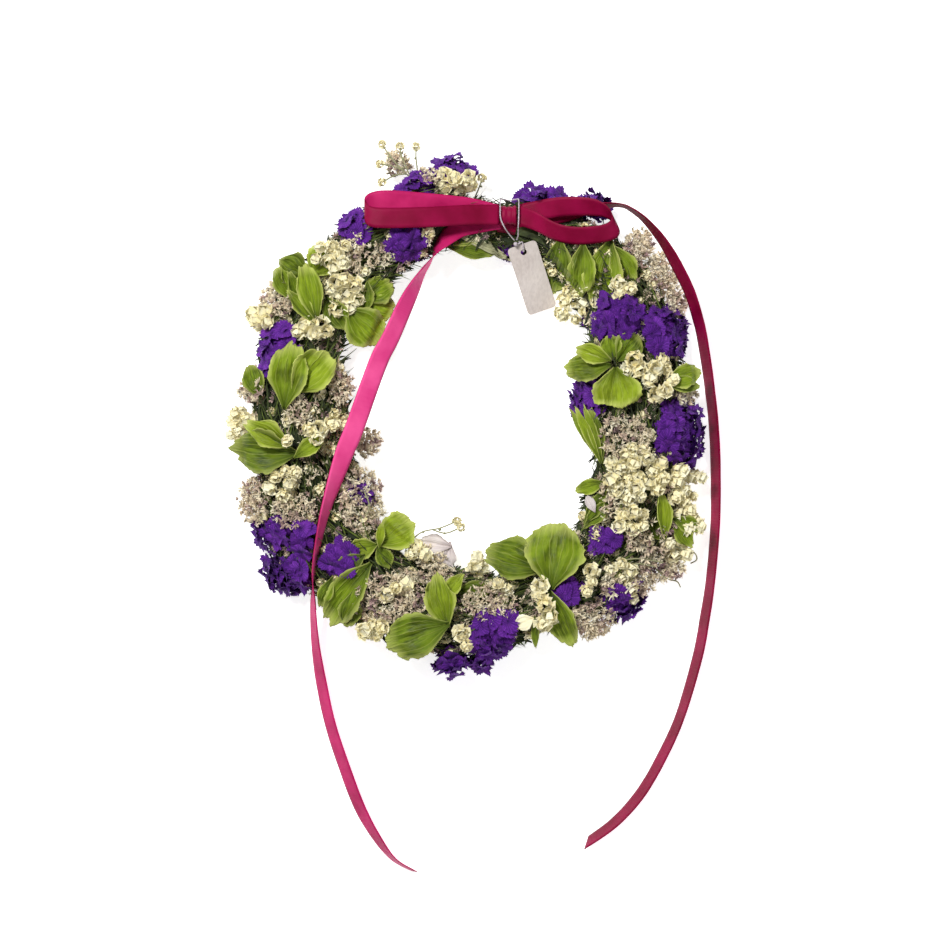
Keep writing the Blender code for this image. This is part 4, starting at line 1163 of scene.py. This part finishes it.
def growTwigs():
    for kind in ("bare", "budded"):
        routes = []
        for points in twigs[kind]:
            route = smoothRoute([tuple(c * mm for c in spot) for spot in points], twigs["steps"])
            routes.append([Vector(spot) for spot in route])
        mesh = tubesAlong(kind, routes, twigs["radius"] * mm)
        bm = newCluster()
        bm.from_mesh(mesh)
        buds = newCluster()
        for points in twigs[kind] if kind == "budded" else ():
            end = Vector(points[-1]) * mm
            bloom = rng.choice(blooms)
            matrix = standing(end, up, rng.uniform(0, 6), (twigs["bloom"] * mm,) * 3)
            stamp(buds, bloom, matrix, twigs["bloomTint"])
            for order, spot in enumerate(points[1:-1]):
                size = rng.uniform(*twigs["bud"]) * mm * (0.8 + 0.25 * order)
                drift = Vector((rng.uniform(-1, 1), rng.uniform(-1, 1), 0.3)) * mm
                made = bmesh.ops.create_icosphere(bm, subdivisions=2, radius=size)
                for vert in made["verts"]:
                    vert.co = vert.co * (1 + twigs["uneven"] * noise.noise(vert.co * 900)) + drift
                    vert.co += Vector(spot) * mm
        layer = bm.verts.layers.float["tint"]
        for vert in bm.verts:
            vert[layer] = twigs["tint"]
        newPiece(kind + "_twigs", meshFrom(settled(bm), kind), ["paleStem"])
        if kind == "budded":
            newPiece("twig_blooms", meshFrom(buds, kind), ["breathCream"])


growTwigs()
print("twigs grown")

# How far the growth reaches inwards and outwards, in millimetres, at angles round the hoop
fullness = ((-20, -18, 25), (0, -19, 27), (15, -18, 25), (30, -17, 24), (45, -15, 22),
            (60, -14, 15), (75, -9, 10), (85, -11, 7), (95, -11, 12), (105, -16, 18),
            (120, -20, 15), (135, -18, 17), (150, -14, 24), (170, -21, 25), (190, -24, 24),
            (215, -24, 28), (230, -24, 22), (250, -24, 17), (270, -22, 19), (290, -15, 12),
            (310, -15, 20), (325, -18, 27), (340, -18, 25))


def reachAt(angle):
    degrees = (math.degrees(angle) + 20) % 360 - 20
    for (a, inA, outA), (b, inB, outB) in zip(fullness, fullness[1:]):
        if a <= degrees <= b:
            share = (degrees - a) / (b - a)
            return (inA + (inB - inA) * share) * mm, (outA + (outB - outA) * share) * mm
    return -18 * mm, 21 * mm


sideGrowth = {"share": 0.28, "near": 0.78, "far": 0.93, "low": 3 * mm, "high": 13 * mm}


def aroundHoop(part, parts, narrowed=1.0):
    # A place on the growth; some are low down on its inner or outer side and say how high
    angle = math.tau * (part + rng.random()) / parts
    inner, outer = reachAt(angle)
    c, s = math.cos(angle), math.sin(angle)
    out, height = rng.uniform(inner, outer) * narrowed, None
    if rng.random() < sideGrowth["share"]:
        out = rng.choice((inner, outer, outer)) * rng.uniform(sideGrowth["near"],
                                                              sideGrowth["far"])
        height = rng.uniform(sideGrowth["low"], sideGrowth["high"])
    radius = hoopRadius(c, s) + out
    x, y = hoopMiddle.x + radius * c, hoopMiddle.y + radius * s
    return x, y, Vector((-s, c, 0)), height


under = {"steps": 144, "sides": 16, "share": 0.78, "middle": 10.0, "half": 8.5, "rough": 3.0,
         "thin": 0.1, "roof": -4 * mm, "floor": 1.2 * mm}


def growUnder():
    # A dense mass of stems and leaf bases round the hoop, seen only between the flowers, painted
    # near black for the shade deep among them
    bm = newUvMesh()
    made = bmesh.ops.create_circle(bm, segments=under["sides"], radius=under["thin"])
    turned = Matrix.Translation((1, 0, 0)) @ rotated(90, "X")
    bmesh.ops.transform(bm, matrix=turned, verts=made["verts"])
    bmesh.ops.spin(bm, geom=bm.verts[:] + bm.edges[:], axis=(0, 0, 1), cent=(0, 0, 0),
                   angle=math.tau, steps=under["steps"], use_merge=True)
    for vert in bm.verts:
        angle = math.atan2(vert.co.y, vert.co.x)
        c, s = math.cos(angle), math.sin(angle)
        inner, outer = reachAt(angle)
        section = (vert.co.xy.length - 1) / under["thin"]
        rough = noise.noise(Vector((c * 9, s * 9, vert.co.z * 25 + section))) * under["rough"] * mm
        out = (inner + outer) / 2 + (outer - inner) / 2 * section * under["share"]
        radius = hoopRadius(c, s) + out + rough * section
        z = (under["middle"] + under["half"] * vert.co.z / under["thin"]) * mm + rough
        x, y = hoopMiddle.x + radius * c, hoopMiddle.y + radius * s
        roof = onDome(x, y, under["roof"], mm)[0].z
        vert.co = (x, y, max(under["floor"], min(z, roof)))
    bmesh.ops.recalc_face_normals(bm, faces=bm.faces)
    newPiece("under_growth", meshFrom(bm, "under"), ["underGrowth"])


underLeaves = {"count": 3600, "length": (7, 15), "width": (1.0, 2.4), "pieces": 4,
               "depth": (-13, -6), "wander": 0.9}
fibres = {"count": 4200, "length": (9, 24), "width": (0.3, 0.75), "pieces": 6,
          "depth": (-9, -2.5), "wander": 0.45}
bladeSlack = {"thick": 0.6 * mm, "climb": 0.14, "spin": 0.8}


def layBlades(settings, name, label):
    low, high = settings["depth"]
    thick, spinMost = bladeSlack["thick"], bladeSlack["spin"]
    for part in range(settings["pieces"]):
        bm = newCluster()
        for _ in range(settings["count"] // settings["pieces"]):
            x, y, along, height = aroundHoop(part, settings["pieces"])
            along = along * rng.choice((-1, 1))
            aside = along.cross(up) * rng.gauss(0, settings["wander"])
            climb = up * rng.gauss(0, bladeSlack["climb"])
            heading = (along + aside + climb).normalized()
            length = rng.uniform(*settings["length"]) * mm
            width = rng.uniform(*settings["width"]) * mm
            tops = []
            for share in (-0.5, 0.0, 0.5):
                tops.append(onDome(x + heading.x * length * share, y + heading.y * length * share,
                                   high * mm, thick)[0].z)
            top = min(tops)
            base = onDome(x, y, low * mm, thick)[0].z
            place = Vector((x, y, rng.uniform(min(base, top), top)))
            if height:
                place.z = min(height, top)
            side = heading.cross(up).normalized()
            basis = Matrix((side, heading, side.cross(heading))).transposed().to_4x4()
            spin = Matrix.Rotation(rng.uniform(-spinMost, spinMost), 4, "Y")
            matrix = Matrix.Translation(place - heading * length / 2) @ basis @ spin
            matrix = matrix @ Matrix.Diagonal((width, length, length, 1.0))
            stamp(bm, rng.choice(blades), matrix, rng.random())
        newPiece("%s_%02d" % (name, part + 1), meshFrom(settled(bm), name), [label])


loose = {"pieces": 4, "narrowed": 1.04, "lift": (-8.5, -4), "lean": 30, "shade": 0.8, "kinds": (
    ("caspia", 2800, (1.7, 2.8), tufts, "caspiaDust"),
    ("babys_breath", 320, (2.0, 3.2), blooms, "breathCream"))}


def growLoose():
    # Caspia and breath scattered through the whole crown, a little lower than the sprigs
    for part in range(loose["pieces"]):
        for kind, count, sizes, parts, label in loose["kinds"]:
            bm = newCluster()
            for _ in range(count // loose["pieces"]):
                x, y, _, height = aroundHoop(part, loose["pieces"], loose["narrowed"])
                size = rng.uniform(*sizes) * mm
                place, normal = onDome(x, y, rng.uniform(*loose["lift"]) * mm, size)
                if height:
                    place.z = min(max(height, size + 1 * mm), place.z)
                    normal = (normal * Vector((1, 1, 0.2))).normalized()
                tint = rng.random() * loose["shade"]
                plant(bm, parts, place, normal, loose["lean"], size, tint)
            newPiece("loose_%s_%02d" % (kind, part + 1), meshFrom(settled(bm), kind), [label])


growUnder()
layBlades(underLeaves, "under_leaves", "underLeaf")
layBlades(fibres, "fine_stems", "stemFibre")
growLoose()
print("stems, needles and loose sprigs grown")

# A plain pale floor and soft light from above
floorSettings = {"size": 30.0, "colour": srgb(255, 255, 255), "glow": 0.7}
lighting = {"world": 0.23, "above": (17.0, 0.32, (-0.4, 0.5, 1.2)),
            "fill": (2.5, 1.0, (0.7, -0.5, 0.9))}


def makeFloor():
    bm = bmesh.new()
    bmesh.ops.create_grid(bm, x_segments=1, y_segments=1, size=floorSettings["size"] / 2)
    floor = bpy.data.objects.new("floor", meshFrom(bm, "floor"))
    scene.collection.objects.link(floor)
    material, _, shader = newMaterial("floorPaper", Roughness=0.9, Specular_IOR_Level=0.1)
    shader.inputs["Base Color"].default_value = floorSettings["colour"]
    shader.inputs["Emission Color"].default_value = floorSettings["colour"]
    shader.inputs["Emission Strength"].default_value = floorSettings["glow"]
    floor.data.materials.append(material)


def addAreaLight(name, power, size, place):
    light = bpy.data.lights.new(name, "AREA")
    light.energy = power
    light.shape = "DISK"
    light.size = size
    lamp = bpy.data.objects.new(name, light)
    lamp.location = place
    lamp.rotation_euler = (-Vector(place)).to_track_quat("-Z", "Y").to_euler()
    scene.collection.objects.link(lamp)


makeFloor()
addAreaLight("above", *lighting["above"])
addAreaLight("fill", *lighting["fill"])
world = bpy.data.worlds.new("studio")
world.use_nodes = True
world.node_tree.nodes["Background"].inputs["Color"].default_value = (1, 1, 1, 1)
world.node_tree.nodes["Background"].inputs["Strength"].default_value = lighting["world"]
scene.world = world
print("floor and light set")
